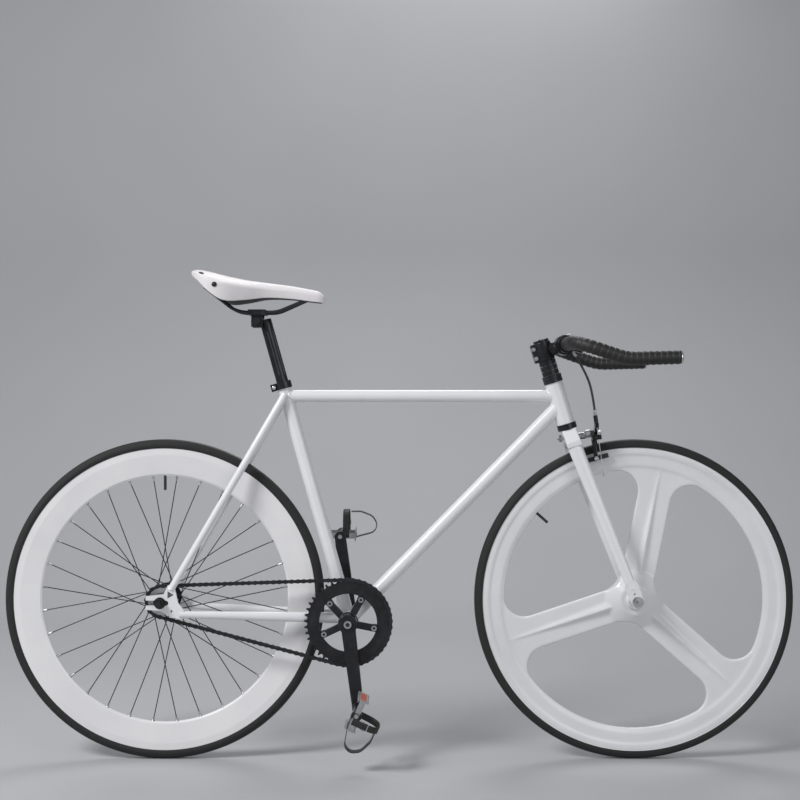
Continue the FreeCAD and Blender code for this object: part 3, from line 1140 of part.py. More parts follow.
def link_plate(low, high):
    """A waisted side plate between two heights, round a pair of pins one pitch apart."""
    half = float(s.chain_pitch / 2)
    end = float(s.plate_height / 2)
    waist = float(s.plate_waist / 2)
    inward = end * cosine(60)
    rise = end * sine(60)
    corners = [Vector(half - inward, rise, 0), Vector(-half + inward, rise, 0),
               Vector(-half + inward, -rise, 0), Vector(half - inward, -rise, 0)]
    edges = [Part.Arc(corners[0], Vector(0, waist, 0), corners[1]),
             Part.Arc(corners[1], Vector(-half - end, 0, 0), corners[2]),
             Part.Arc(corners[2], Vector(0, -waist, 0), corners[3]),
             Part.Arc(corners[3], Vector(half + end, 0, 0), corners[0])]
    face = Part.Face(Part.Wire([edge.toShape() for edge in edges]))
    solid = face.extrude(UP * float(high - low))
    solid.translate(UP * float(low))
    return solid


def chain(centres):
    """Outer links with their pins and inner links with their rollers, by turns."""
    inner = s.link_inner_width / 2
    inner_out = inner + s.plate_thickness
    outer_in = inner_out + s.plate_gap
    outer_out = outer_in + s.plate_thickness
    pin = s.pin_diameter / 2
    half = float(s.chain_pitch / 2)
    inner_solids = [link_plate(inner, inner_out), link_plate(-inner_out, -inner)]
    outer_solids = [link_plate(outer_in, outer_out), link_plate(-outer_out, -outer_in)]
    holes = []
    for x in (-half, half):
        inner_solids.append(Part.makeCylinder(float(s.roller_diameter / 2), float(2 * inner),
                                              Vector(x, 0, -inner)))
        holes.append(Part.makeCylinder(float(pin + s.pin_clearance), float(2 * inner_out),
                                       Vector(x, 0, -inner_out)))
        reach = outer_out + s.pin_overhang
        outer_solids.append(Part.makeCylinder(float(pin), float(2 * reach), Vector(x, 0, -reach)))
    inner_link = inner_solids[0].fuse(inner_solids[1:]).cut(holes).removeSplitter()
    outer_link = outer_solids[0].fuse(outer_solids[1:]).removeSplitter()
    links = []
    for index, point in enumerate(centres):
        following = centres[(index + 1) % len(centres)]
        link = (inner_link if index % 2 else outer_link).copy()
        middle = (point + following) / 2 - LEFT * s.chain_line
        link.Placement = Placement(middle, Rotation(following - point, UP, LEFT, "ZXY"))
        links.append(link)
    node("chain", feature("chain_links", Part.Compound(links)))


def seat_angle_of(centre, point):
    offset = point - centre
    return math.degrees(math.atan2(offset.z, offset.x))


def drive():
    centres = roller_centres()
    chain(centres)
    ring_phase = seat_angle_of(bracket, centres[0])
    on_cog = next(point for point in centres[int(s.ring_teeth) // 2:]
                  if abs((point - rear_axle).Length - sprocket_radius(s.cog_teeth)) < s.running_clearance)
    cog_phase = seat_angle_of(rear_axle, on_cog)
    cog = sprocket("cog", s.cog_teeth, rear_axle, cog_phase, s.hub_cog_seat_radius)
    ring_low = s.chain_line + s.tooth_width / 2
    lock_start = rear_axle - LEFT * ring_low
    lock = disc("lockring_core", s.lockring_radius, s.lockring_width, lock_start, RIGHT)
    lock_hole = disc("lockring_hole", s.hub_cog_seat_radius, s.lockring_width, lock_start, RIGHT)
    boss_end = rear_axle - LEFT * (s.hub_flange_spacing / 2 + s.hub_flange_thickness / 2)
    boss_start = rear_axle - LEFT * (s.chain_line - s.tooth_width / 2)
    boss = rod("cog_boss_core", s.cog_boss_radius, boss_start, boss_end)
    boss_hole = rod("cog_boss_hole", s.hub_cog_seat_radius, rear_axle - LEFT * s.chain_line, boss_end)
    node("rear_cog", group("cog_all", fuse("cog_fused", cog, cut("cog_boss", boss, boss_hole)),
                           cut("lockring", lock, lock_hole)))
    chainring(ring_phase)
    cranks()


def crank_place(y, turn=0):
    """Local X along the crank, local Z to the right; the origin is on the bottom bracket's axis."""
    spin = Rotation(RIGHT, s.crank_angle + turn)
    return Placement(bracket + LEFT * y, spin.multiply(Rotation(FORWARD, UP, RIGHT, "ZXY")))


def chainring(phase):
    """The toothed ring with five tabs for its bolts."""
    ring = sprocket("ring", s.ring_teeth, bracket, phase, s.ring_inner_radius)
    inner_face = -s.chain_line + s.tooth_width / 2
    tabs = []
    holes = []
    for index in range(5):
        place = crank_place(inner_face, 72 * index)
        bolt = s.bolt_circle / 2
        tabs.append(strip("ring_tab_%d" % index, ((bolt, 0), (s.ring_inner_radius + s.ring_tab_radius, 0)),
                          2 * s.ring_tab_radius, s.tooth_width, place))
        holes.append(disc("ring_hole_%d" % index, s.ring_bolt_diameter / 2, s.tooth_width,
                          place.multVec(Vector(bolt, 0, 0)), RIGHT))
    node("chainring", cut("chainring_drilled", fuse("chainring_core", ring, *tabs), *holes))


def cranks():
    spider_face = -s.chain_line - s.tooth_width / 2
    bolt = s.bolt_circle / 2
    pieces = [disc("crank_boss", s.spider_boss_radius, s.crank_plane + s.crank_thickness + spider_face,
                   bracket + LEFT * spider_face, RIGHT)]
    bolts = []
    for index in range(5):
        place = crank_place(spider_face, 72 * index)
        pieces.append(strip("spider_arm_%d" % index, ((0, 0), (bolt, 0)), s.spider_arm_width,
                            s.spider_thickness, place))
        inner = place.multVec(Vector(bolt, 0, -s.tooth_width))
        outer = place.multVec(Vector(bolt, 0, s.spider_thickness))
        shank = rod("ring_bolt_shank_%d" % index, s.ring_bolt_diameter / 2, inner, outer)
        head = s.ring_bolt_head / 2
        heads = [disc("ring_bolt_in_%d" % index, head, s.ring_bolt_head_height, inner, LEFT),
                 disc("ring_bolt_out_%d" % index, head, s.ring_bolt_head_height, outer, RIGHT)]
        bolts.append(fuse("ring_bolt_%d" % index, shank, *heads))
    half = LEFT * s.spindle_end
    spindle = rod("spindle_core", s.spindle_diameter / 2, bracket - half, bracket + half)
    node("bb_spindle", spindle)
    arm_outer = s.crank_plane + s.crank_thickness
    bolt_height = s.crank_bolt_height
    crank_bolts = []
    for side, direction in (("right", RIGHT), ("left", LEFT)):
        start = bracket + direction * (s.spindle_end)
        crank_bolts.append(disc("crank_bolt_" + side, s.crank_bolt_diameter / 2,
                                arm_outer - s.spindle_end + bolt_height, start, direction))
    node("crank_fasteners", group("crank_fasteners_all", *(bolts + crank_bolts)))
    axles = []
    for side, turn, y in (("right", 0, -1), ("left", 180, 1)):
        eye = crank_place(0, turn).multVec(Vector(s.crank_length, 0, 0))
        start = eye + LEFT * (y * s.crank_plane)
        end = eye + LEFT * (y * (s.pedal_start + s.pedal_axle_length))
        axles.append(rod("pedal_axle_" + side, s.pedal_axle_diameter / 2, start, end))
    node("pedal_axles", group("pedal_axles_all", *axles))
    arms = []
    for side, turn, base in (("right", 0, -s.crank_plane), ("left", 180, s.crank_plane + s.crank_thickness)):
        width = s.crank_root_width / 2
        end = s.crank_end_width / 2
        points = ((0, -width), (s.crank_length, -end), (s.crank_length, end), (0, width))
        arms.append(fuse("crank_arm_" + side,
                         plate("crank_bar_" + side, points, s.crank_thickness, crank_place(base, turn)),
                         disc("crank_eye_" + side, end, s.crank_thickness,
                              crank_place(base, turn).multVec(Vector(s.crank_length, 0, 0)), RIGHT),
                         disc("crank_root_" + side, width, s.crank_thickness,
                              crank_place(base, turn).multVec(Vector(0, 0, 0)), RIGHT)))
    fasteners = nodes["crank_fasteners"]
    right = fuse("crank_right_core", arms[0], *pieces)
    node("crank_right", cut("crank_right_bored", right, spindle, fasteners, nodes["pedal_axles"]))
    left_boss = disc("left_boss", s.spider_boss_radius, s.crank_plane + s.crank_thickness - s.left_boss_plane,
                     bracket + LEFT * s.left_boss_plane, LEFT)
    node("crank_left", cut("crank_left_bored", fuse("crank_left_core", arms[1], left_boss), spindle,
                           fasteners, nodes["pedal_axles"]))
    lip = s.shell_length / 2
    inner = s.spindle_diameter / 2 + s.running_clearance
    points = ((inner, lip / 2), (s.shell_bore / 2, lip / 2), (s.shell_bore / 2, lip), (s.cup_lip_radius, lip),
              (s.cup_lip_radius, lip + s.cup_lip), (inner, lip + s.cup_lip))
    node("bottom_bracket_cups", pair("bracket_cup_pair", turned("bracket_cup", points, wheel_place(bracket))))
    pedal("right", 0, -1, s.right_pedal_angle)
    pedal("left", 180, 1, s.left_pedal_angle)


def pedal(side, turn, y, angle):
    """A cage pedal on its axle, with a toe clip and strap; y is the side of the bike."""
    eye = crank_place(0, turn).multVec(Vector(s.crank_length, 0, 0))
    spin = Rotation(RIGHT, angle)
    base = eye + LEFT * (y * s.pedal_start)
    outward = LEFT * y
    # local X forward on the pedal, local Y to its sole side, local Z away from the crank or toward it
    ahead = spin.multVec(FORWARD)
    up = spin.multVec(UP)
    start = base if y < 0 else base + outward * s.pedal_width
    place = Placement(start, Rotation(ahead, up, RIGHT, "ZXY"))

    def at(x, height, z):
        return place.multiply(Placement(Vector(x, height, z), Rotation()))

    prefix = "pedal_%s_" % side
    barrel = disc(prefix + "barrel", s.pedal_barrel_diameter / 2, s.pedal_width, start, RIGHT)
    half = s.pedal_length / 2 - s.pedal_plate / 2
    parts = [barrel]
    for name, x in (("front", half), ("back", -half)):
        parts.append(box(prefix + name, s.pedal_plate, s.pedal_height, s.pedal_width, at(x, 0, 0)))
    for name, z in (("near", 0), ("far", s.pedal_width - s.pedal_end)):
        parts.append(box(prefix + name, s.pedal_length, s.pedal_end_height, s.pedal_end, at(0, 0, z)))
    hole = disc(prefix + "hole", s.pedal_axle_diameter / 2 + s.running_clearance, s.pedal_width, start, RIGHT)
    node("pedal_body_" + side, cut(prefix + "bored", fuse(prefix + "core", *parts), hole))
    front = s.pedal_length / 2 + s.clip_thickness / 2
    shares = ((0.62, -0.02), (0.90, 0.10), (1.0, 0.42), (0.86, 0.80), (0.55, 1.0), (0.28, 1.0))
    points = [(front, -s.pedal_end_height / 2)] + [(s.clip_reach * x, s.clip_height * z) for x, z in shares]
    clip_at = at(0, 0, (s.pedal_width - s.clip_width) / 2)
    clip = strip("clip_%s_band" % side, points, s.clip_thickness, s.clip_width, clip_at)
    strap_up = s.clip_height + s.clip_thickness + s.strap_thickness / 2
    across = Placement(place.multVec(Vector(s.strap_width / 2 + s.pedal_barrel_diameter / 2, 0, 0)),
                       place.Rotation.multiply(Rotation(UP, Vector(0, 1, 0), -FORWARD, "ZXY")))
    side_gap = s.strap_thickness / 2 + s.seat_gap
    strap_points = ((-side_gap, 0), (-side_gap, strap_up), (s.pedal_width + side_gap, strap_up),
                    (s.pedal_width + side_gap, 0))
    strap = strip("strap_%s_band" % side, strap_points, s.strap_thickness, s.strap_width, across)
    node("toe_clip_" + side, group("toe_clip_%s_all" % side, clip, strap))


# Seatpost and saddle

def seatpost():
    low = s.seat_tube_length - s.seatpost_insert
    high = s.seat_tube_length + s.seatpost_show
    core = rod("post_core", s.seatpost_diameter / 2, on_seat(low), on_seat(high))
    bore = rod("post_bore", s.seatpost_diameter / 2 - s.seatpost_wall, on_seat(low),
               on_seat(high - s.seat_head_radius))
    head_at = seat_head()
    half = LEFT * (s.seat_head_length / 2)
    head = rod("post_head", s.seat_head_radius, head_at - half, head_at + half)
    hole = rod("post_head_hole", s.clamp_bolt_diameter / 2 + s.running_clearance, head_at - half,
               head_at + half)
    node("seatpost", cut("post_bored", fuse("post_and_head", core, head), bore, hole))


def seat_head():
    """Centre of the post's head, behind the top of the post."""
    return on_seat(s.seat_tube_length + s.seatpost_show, -s.seat_head_set)


def saddle_clamp(rails):
    head_at = seat_head()
    to_block = s.seat_head_radius + s.side_play
    base = head_at + UP * to_block
    block = box("clamp_block", s.clamp_block_length, s.clamp_block_width, s.clamp_block_height,
                Placement(base, Rotation()))
    cheek_middle = s.seat_head_length / 2 + s.side_play + s.clamp_cheek_thickness / 2
    low = head_at - UP * (s.clamp_cheek_length / 2)
    parts = [block]
    for name, y in (("left", 1), ("right", -1)):
        parts.append(box("clamp_cheek_" + name, s.clamp_cheek_length, s.clamp_cheek_thickness,
                         s.clamp_cheek_length / 2 + to_block + s.clamp_block_height / 2,
                         Placement(low + LEFT * (y * cheek_middle), Rotation())))
        face = head_at + LEFT * (y * (cheek_middle + s.clamp_cheek_thickness / 2))
        parts.append(hexagon("clamp_nut_" + name, s.clamp_nut_width, s.clamp_nut_height, face, LEFT * y))
    reach = LEFT * (cheek_middle + s.clamp_nut_height)
    parts.append(rod("clamp_bolt", s.clamp_bolt_diameter / 2, head_at - reach, head_at + reach))
    node("saddle_clamp", cut("clamp_bored", fuse("clamp_core", *parts), rails))


def rail_path(side):
    """Corners of one saddle rail, from the tail to the nose."""
    middle = seat_head() + UP * (s.seat_head_radius + s.side_play + s.clamp_block_height / 2)
    inner = side * s.rail_spacing / 2
    rear = middle + Vector(-s.rail_straight / 2, inner, 0)
    front = middle + Vector(s.rail_straight / 2, inner, 0)
    tail = Vector(rear.x - s.rail_tail_length, side * s.rail_tail_spread / 2, rear.z + s.rail_tail_rise)
    nose = Vector(front.x + s.rail_nose_length, side * s.rail_nose_spread / 2, front.z + s.rail_nose_rise)
    return [tail, rear, front, nose]


def saddle_corner():
    """Where the saddle starts: its tail along X and the foot of its skirts along Z."""
    head_at = seat_head()
    return head_at.x - s.saddle_set_back, head_at.z + s.saddle_rise


def saddle_top():
    """A riveted saddle shell: broad raised tail, flared skirts and a narrow drooping nose."""
    # shares along the length: half width, crown, edge of the crown, half width, foot and roof of the skirt
    station_shares = ((0.0, 0.30, 0.985, 0.93, 0.27, 0.86, 0.83),
                      (0.06, 0.43, 1.0, 0.84, 0.41, 0.70, 0.72),
                      (0.14, 0.49, 0.97, 0.68, 0.47, 0.34, 0.60),
                      (0.25, 0.475, 0.87, 0.56, 0.45, 0.02, 0.47),
                      (0.40, 0.36, 0.72, 0.47, 0.34, 0.06, 0.34),
                      (0.56, 0.22, 0.61, 0.42, 0.21, 0.13, 0.24),
                      (0.75, 0.145, 0.50, 0.36, 0.13, 0.11, 0.16),
                      (0.93, 0.115, 0.38, 0.28, 0.10, 0.04, 0.07),
                      (1.0, 0.06, 0.20, 0.16, 0.05, 0.04, 0.05))
    wires = []
    tail, base = saddle_corner()
    for along, wide, crown, edge, foot_wide, foot, roof in station_shares:
        x = tail + s.saddle_length * along

        def at(y_share, z_share):
            return Vector(x, s.saddle_width * y_share, base + s.saddle_height * z_share)

        edges = [Part.Arc(at(wide, edge), at(0, crown), at(-wide, edge)),
                 Part.LineSegment(at(-wide, edge), at(-foot_wide, foot)),
                 Part.Arc(at(-foot_wide, foot), at(0, roof), at(foot_wide, foot)),
                 Part.LineSegment(at(foot_wide, foot), at(wide, edge))]
        wires.append(Part.Wire([item.toShape() for item in edges]))
    return feature("saddle_shell", Part.makeLoft(wires, True, False))


def saddle():
    shell = saddle_top()
    node("saddle_top", shell)
    rods = []
    for name, side in (("left", 1), ("right", -1)):
        rods.append(bent("rail_" + name, s.rail_diameter / 2, rail_path(side), [s.rail_bend, s.rail_bend]))
    rails = group("rail_pair", *rods)
    saddle_clamp(rails)
    node("saddle_rails", cut("rails_trimmed", rails, shell))
    rivets = []
    # shares of the saddle's length and height at which a rivet sits, the same on both sides
    rivet_shares = ((0.085, 0.86), (0.19, 0.51))
    tail, base = saddle_corner()
    for index, (along, high) in enumerate(rivet_shares):
        for name, side in (("left", 1), ("right", -1)):
            x = tail + s.saddle_length * along
            z = base + s.saddle_height * high
            probe = Part.makeLine(Vector(x, side * s.saddle_width, z), Vector(x, 0, z))
            hit = max(probe.common(shell.Shape).Vertexes, key=lambda vertex: side * vertex.Point.y).Point
            rivets.append(add("Part::Sphere", "rivet_%d_%s" % (index, name), Placement(hit, Rotation()),
                              Radius=s.rivet_radius))
    node("saddle_rivets", cut("rivets_trimmed", group("rivet_all", *rivets), shell))


def build():
    shell, seat, top = frame_tubes()
    stays(shell, seat, top)
    seat_collar()
    headset()
    fork()
    stem()
    handlebar()
    lever()
    caliper()
    spokes, nipples = rear_spokes()
    rear_hub(spokes)
    rear_valve = inner_tube("rear_inner_tube", rear_axle, s.rim_radius, s.rim_depth,
                            s.rear_valve_angle)
    rear_rim([nipples, rear_valve])
    tyre("rear_tyre", rear_axle, s.rim_radius)
    valve_angle = s.mag_spoke_angle + 180 / float(s.mag_spoke_count)
    front_valve = inner_tube("front_inner_tube", front_axle, s.mag_radius, s.mag_depth, valve_angle)
    front_wheel(front_valve)
    tyre("front_tyre", front_axle, s.mag_radius)
    drive()
    doc.recompute()
    seatpost()
    saddle()
    doc.recompute()


build()
faults = [item.Name for item in doc.Objects if "Invalid" in item.State or "Error" in item.State]
for name, item in nodes.items():
    shape = item.Shape
    if shape.isNull() or not shape.isValid() or not shape.Solids:
        faults.append(name)
if faults:
    raise RuntimeError("not built: " + ", ".join(faults))
os.makedirs("parts", exist_ok=True)
for name, item in nodes.items():
    item.Shape.exportStep(os.path.join("parts", name + ".step"))
print(len(nodes), "sub-parts written")
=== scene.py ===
from math import acos, cos, pi, radians, sin, sqrt, tan

import bmesh
import bpy
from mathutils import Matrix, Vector


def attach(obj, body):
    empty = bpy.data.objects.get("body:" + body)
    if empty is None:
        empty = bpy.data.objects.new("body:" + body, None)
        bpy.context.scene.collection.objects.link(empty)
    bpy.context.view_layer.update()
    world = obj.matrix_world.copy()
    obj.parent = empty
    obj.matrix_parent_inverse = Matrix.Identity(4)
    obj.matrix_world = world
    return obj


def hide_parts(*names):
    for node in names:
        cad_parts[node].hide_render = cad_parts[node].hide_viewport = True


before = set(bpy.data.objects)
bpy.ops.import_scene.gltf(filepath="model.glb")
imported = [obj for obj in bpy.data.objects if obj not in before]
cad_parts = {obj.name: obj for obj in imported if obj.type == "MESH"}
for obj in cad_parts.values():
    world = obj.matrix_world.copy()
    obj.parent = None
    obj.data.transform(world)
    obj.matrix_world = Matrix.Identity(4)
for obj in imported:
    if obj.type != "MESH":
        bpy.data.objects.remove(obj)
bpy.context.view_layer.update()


# Frame: butted steel tubes, cut to fit each other and welded without lugs, then sprayed white under a
# clear lacquer. The lacquer shows a faint orange peel close by, and the weld beads stand out under it.

class Shade:
    """One output in a node tree; sums and products of such outputs become Math nodes."""

    def __init__(self, socket):
        self.socket = socket
        self.tree = socket.id_data

    def make(self, kind, settings=None, out=0, **sockets):
        """Adds a node; a socket goes by its name, with its spaces as underscores, or by number, as in _0."""
        node = self.tree.nodes.new(kind)
        for name, value in (settings or {}).items():
            setattr(node, name, value)
        for name, value in sockets.items():
            key = int(name[1:]) if name[0] == "_" else name.replace("_", " ")
            if isinstance(value, Shade):
                self.tree.links.new(value.socket, node.inputs[key])
            else:
                node.inputs[key].default_value = value
        return Shade(node.outputs[out])

    def maths(self, operation, *values):
        numbered = {"_%d" % index: value for index, value in enumerate(values)}
        return self.make("ShaderNodeMath", {"operation": operation}, **numbered)

    def then(self, kind, settings=None, **sockets):
        """Adds a node of Geometry Nodes that takes this geometry first."""
        return self.make("GeometryNode" + kind, settings, _0=self, **sockets)

    def __add__(self, other):
        return self.maths("ADD", self, other)

    def __sub__(self, other):
        return self.maths("SUBTRACT", self, other)

    def __rsub__(self, other):
        return self.maths("SUBTRACT", other, self)

    def __mul__(self, other):
        return self.maths("MULTIPLY", self, other)

    __radd__ = __add__
    __rmul__ = __mul__

    def noise(self, scale, detail=2.0, rough=0.5):
        return self.make("ShaderNodeTexNoise", Vector=self, Scale=scale, Detail=detail, Roughness=rough)

    def ramp(self, *stops):
        """A colour ramp over this value, between two stops."""
        shade = self.make("ShaderNodeValToRGB", Fac=self)
        for element, (position, colour) in zip(shade.socket.node.color_ramp.elements, stops):
            element.position = position
            element.color = (*colour, 1.0)
        return shade

    def spread(self, low, high):
        """This value as a share of the way from low to high."""
        return self.make("ShaderNodeMapRange", Value=self, From_Min=low, From_Max=high)

    def to(self, socket):
        self.tree.links.new(self.socket, socket)


def new_finish(name, coordinates="Object", **fixed):
    """A material with its shader's even values set, its shader, and coordinates to draw on."""
    material = bpy.data.materials.new(name)
    material.use_nodes = True
    shader = material.node_tree.nodes["Principled BSDF"]
    for socket, value in fixed.items():
        shader.inputs[socket.replace("_", " ")].default_value = value
    place = material.node_tree.nodes.new("ShaderNodeTexCoord")
    return material, shader, Shade(place.outputs[coordinates])


def draw(shader, colour, rough=None, bump=None):
    """Links what varies over a surface; a bump is its strength, depth and height."""
    colour.to(shader.inputs["Base Color"])
    if rough:
        rough.to(shader.inputs["Roughness"])
    if bump:
        strength, depth, height = bump
        raised = height.make("ShaderNodeBump", Strength=strength, Distance=depth, Height=height)
        raised.to(shader.inputs["Normal"])


def dress(material, *names):
    """Gives CAD nodes their finish."""
    for name in names:
        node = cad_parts[name]
        if not node.material_slots:
            node.data.materials.append(material)
        for slot in node.material_slots:
            slot.material = material


def white_lacquer(name, light, dark, roughness):
    """White paint: slight mottle in colour, fine orange peel, gloss that wanders a little."""
    material, shader, place = new_finish(name, Coat_Weight=0.5, Coat_Roughness=0.08, IOR=1.5)
    mottle = place.noise(7.0, 4.0, 0.6)
    peel = place.noise(420.0, 2.0) + 0.35 * place.noise(55.0, 1.0)
    draw(shader, mottle.ramp((0.35, dark), (0.65, light)), roughness + 0.14 * place.noise(31.0, 3.0),
         (0.06, 0.0004, peel))
    return material


frame_paint = white_lacquer("frame_white_lacquer", (0.80, 0.80, 0.815), (0.75, 0.75, 0.77), 0.24)
dress(frame_paint, "head_tube", "top_tube", "down_tube", "seat_tube", "bottom_bracket_shell",
      "chain_stays", "seat_stays", "rear_dropouts")


def stand(name, data):
    """A new object in the scene with the given data."""
    item = bpy.data.objects.new(name, data)
    bpy.context.scene.collection.objects.link(item)
    return item


def place_mesh(name, mesh, material, body, slot, crease=40.0):
    """A mesh as a piece with its finish and body, slot not used; edges over the crease's angle stay sharp."""
    mesh.materials.clear()
    mesh.materials.append(material)
    mesh.shade_smooth()
    mesh.set_sharp_from_angle(angle=radians(crease))
    piece = stand(name, mesh)
    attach(piece, body)
    return piece


def add_mesh(name, points, faces, material, body, slot, crease=40.0):
    """A piece from its points and faces, its normals turned outwards."""
    mesh = bpy.data.meshes.new(name)
    mesh.from_pydata(points, [], faces)
    form = bmesh.new()
    form.from_mesh(mesh)
    bmesh.ops.recalc_face_normals(form, faces=form.faces)
    form.to_mesh(mesh)
    form.free()
    return place_mesh(name, mesh, material, body, slot, crease)


def circle(count):
    """Cosine and sine at even steps round a circle."""
    angles = [2 * pi * step / count for step in range(count)]
    return [(cos(angle), sin(angle)) for angle in angles]


def ring_faces(rings, around, closed_along=False):
    """Quads between closed rings of points; the last ring joins the first, or both ends get a face."""
    faces = []
    for ring in range(rings if closed_along else rings - 1):
        here, there = ring * around, (ring + 1) % rings * around
        for step in range(around):
            turn = (step + 1) % around
            faces.append((here + step, here + turn, there + turn, there + step))
    if not closed_along:
        faces.append(tuple(reversed(range(around))))
        faces.append(tuple((rings - 1) * around + step for step in range(around)))
    return faces


def weld(name, tube_axis, tube_radius, start, other_axis, other_point, other_radius):
    """A weld bead along the line where the surfaces of two round tubes cross."""
    bead, bead_height, bead_width = 0.0019, 0.8, 1.25
    steps, around = 72, 10
    axis = tube_axis.normalized()
    other = other_axis.normalized()
    side = axis.cross(other).normalized()
    second = axis.cross(side)
    drift = axis - other * axis.dot(other)
    line = []
    for cosine, sine in circle(steps):
        out = side * cosine + second * sine
        base = start + out * tube_radius - other_point
        flat = base - other * base.dot(other)
        a = drift.dot(drift)
        b = 2 * flat.dot(drift)
        c = flat.dot(flat) - other_radius ** 2
        along = (-b - sqrt(max(b * b - 4 * a * c, 0.0))) / (2 * a)
        line.append((start + out * tube_radius + axis * along, out))
    points = []
    for step, (point, out) in enumerate(line):
        run = (line[(step + 1) % steps][0] - line[step - 1][0]).normalized()
        up = (out - run * out.dot(run)).normalized()
        across = run.cross(up)
        for cosine, sine in circle(around):
            points.append(point + (up * cosine * bead_height + across * sine * bead_width) * bead)
    add_mesh(name, points, ring_faces(steps, around, True), frame_paint, "frame", "white_paint")


left = Vector((0, 1, 0))
seat_angle, steer_angle = radians(74.4), radians(73)
seat_up = Vector((-cos(seat_angle), 0, sin(seat_angle)))
seat_ahead = Vector((sin(seat_angle), 0, cos(seat_angle)))
steer_up = Vector((-cos(steer_angle), 0, sin(steer_angle)))
steer_ahead = Vector((sin(steer_angle), 0, cos(steer_angle)))
bracket_height, top_height, fork_rake, down_rise = 0.292, 0.763, 0.028, 0.4364
bracket = Vector((-0.106411, 0, bracket_height))
front_axle = Vector((0.4935, 0, 0.336))
rear_axle = Vector((-0.4935, 0, 0.336))
steer_foot = front_axle - steer_ahead * fork_rake
top_rear = bracket + seat_up * ((top_height - bracket_height) / seat_up.z)
top_front = steer_foot + steer_up * ((top_height - steer_foot.z) / steer_up.z)
down_front = steer_foot + steer_up * down_rise
seat_start = bracket + seat_up * 0.2
top_radius, down_radius, seat_radius, head_radius, shell_radius = 0.0127, 0.0143, 0.0143, 0.01875, 0.02
weld("weld_top_head", top_front - top_rear, top_radius, top_rear, steer_up, steer_foot, head_radius)
weld("weld_top_seat", top_rear - top_front, top_radius, top_front, seat_up, bracket, seat_radius)
weld("weld_down_head", down_front - bracket, down_radius, bracket, steer_up, steer_foot, head_radius)
weld("weld_down_shell", bracket - down_front, down_radius, down_front, left, bracket, shell_radius)
weld("weld_seat_shell", -seat_up, seat_radius, seat_start, left, bracket, shell_radius)


# Headset, bar, chainring and other alloy fittings: turned, bent or forged from aluminium and anodised
# black, pressed or bolted in place. Handling leaves the black a little greyer in patches.

def black_alloy(name, colour, roughness):
    """Black anodised alloy: fine turned grain in the gloss and worn, greyer patches."""
    material, shader, place = new_finish(name, Metallic=0.55, Coat_Weight=0.15, Coat_Roughness=0.2)
    wear = place.noise(38.0, 5.0, 0.65)
    paler = tuple(value * 1.9 + 0.006 for value in colour)
    draw(shader, wear.ramp((0.42, colour), (0.78, paler)), roughness + 0.22 * place.noise(160.0, 3.0),
         (0.05, 0.0003, place.noise(640.0)))
    return material


alloy = black_alloy("black_anodised_alloy", (0.017, 0.017, 0.019), 0.22)
dress(alloy, "headset_cups", "headset_spacers", "stem", "stem_faceplate", "handlebar", "seat_clamp",
      "seatpost", "brake_lever_clamp", "crank_left", "crank_right", "chainring", "rear_hub_shell")


# Axles, bolts, nuts, spokes and chain: turned, drawn or pressed steel, left bright, blackened or chromed.
# They screw together or run in each other, and oil leaves a thin, uneven film on them.

def steel(name, colour, roughness, metallic=1.0):
    """Turned or pressed steel with fine scratches and a faint film of oil."""
    material, shader, place = new_finish(name, Metallic=metallic)
    scratch = place.make("ShaderNodeMapping", Vector=place, Scale=(90.0, 900.0, 900.0)).noise(1.0, 3.0)
    film = place.noise(60.0, 4.0, 0.6)
    darker = tuple(value * 0.7 for value in colour)
    draw(shader, film.ramp((0.35, darker), (0.7, colour)), roughness + 0.2 * scratch + 0.1 * film,
         (0.08, 0.0002, scratch))
    return material


bright_steel = steel("bright_steel", (0.60, 0.60, 0.61), 0.18)
dark_steel = steel("blackened_steel", (0.055, 0.055, 0.058), 0.30, 0.85)
polished = steel("polished_chrome", (0.78, 0.78, 0.79), 0.05)
dress(bright_steel, "front_axle", "bb_spindle", "pedal_axles", "caliper_bridge", "stem_bolts", "rear_cog",
      "front_hub_bearings", "rear_hub_bearings", "crank_fasteners", "rear_nipples")
dress(dark_steel, "rear_axle", "rear_axle_nuts", "chain", "rear_spokes",
      "bottom_bracket_cups", "saddle_clamp", "saddle_rails", "saddle_rivets")
dress(polished, "front_axle_nuts", "bar_end_plugs")


# Fork: a cast crown with two tapered steel blades brazed into it, sprayed white with the frame.
# Casting and paint leave no edge of the crown sharp.

dress(frame_paint, "fork_crown", "fork_blades")


def outer_shell(source):
    """A copy of a CAD node's mesh in its place, merged, without the hidden shells of its hollows."""
    mesh = source.data.copy()
    mesh.transform(source.matrix_world)
    form = bmesh.new()
    form.from_mesh(mesh)
    bmesh.ops.remove_doubles(form, verts=form.verts, dist=0.000005)
    shells = []
    unseen = set(form.verts)
    while unseen:
        shell = []
        edge = [unseen.pop()]
        while edge:
            vertex = edge.pop()
            shell.append(vertex)
            near = {link.other_vert(vertex) for link in vertex.link_edges} & unseen
            unseen -= near
            edge.extend(near)
        across = [vertex.co.x for vertex in shell]
        shells.append((max(across) - min(across), shell))
    widest = max(reach for reach, shell in shells)
    inner = [vertex for reach, shell in shells if reach < widest for vertex in shell]
    bmesh.ops.delete(form, geom=inner, context="VERTS")
    form.to_mesh(mesh)
    form.free()
    return mesh


def baked(holder):
    """What an object's modifiers make of it, as a plain mesh; the object goes."""
    graph = bpy.context.evaluated_depsgraph_get()
    mesh = bpy.data.meshes.new_from_object(holder.evaluated_get(graph))
    holder.modifiers.clear()
    bpy.data.objects.remove(holder)
    return mesh


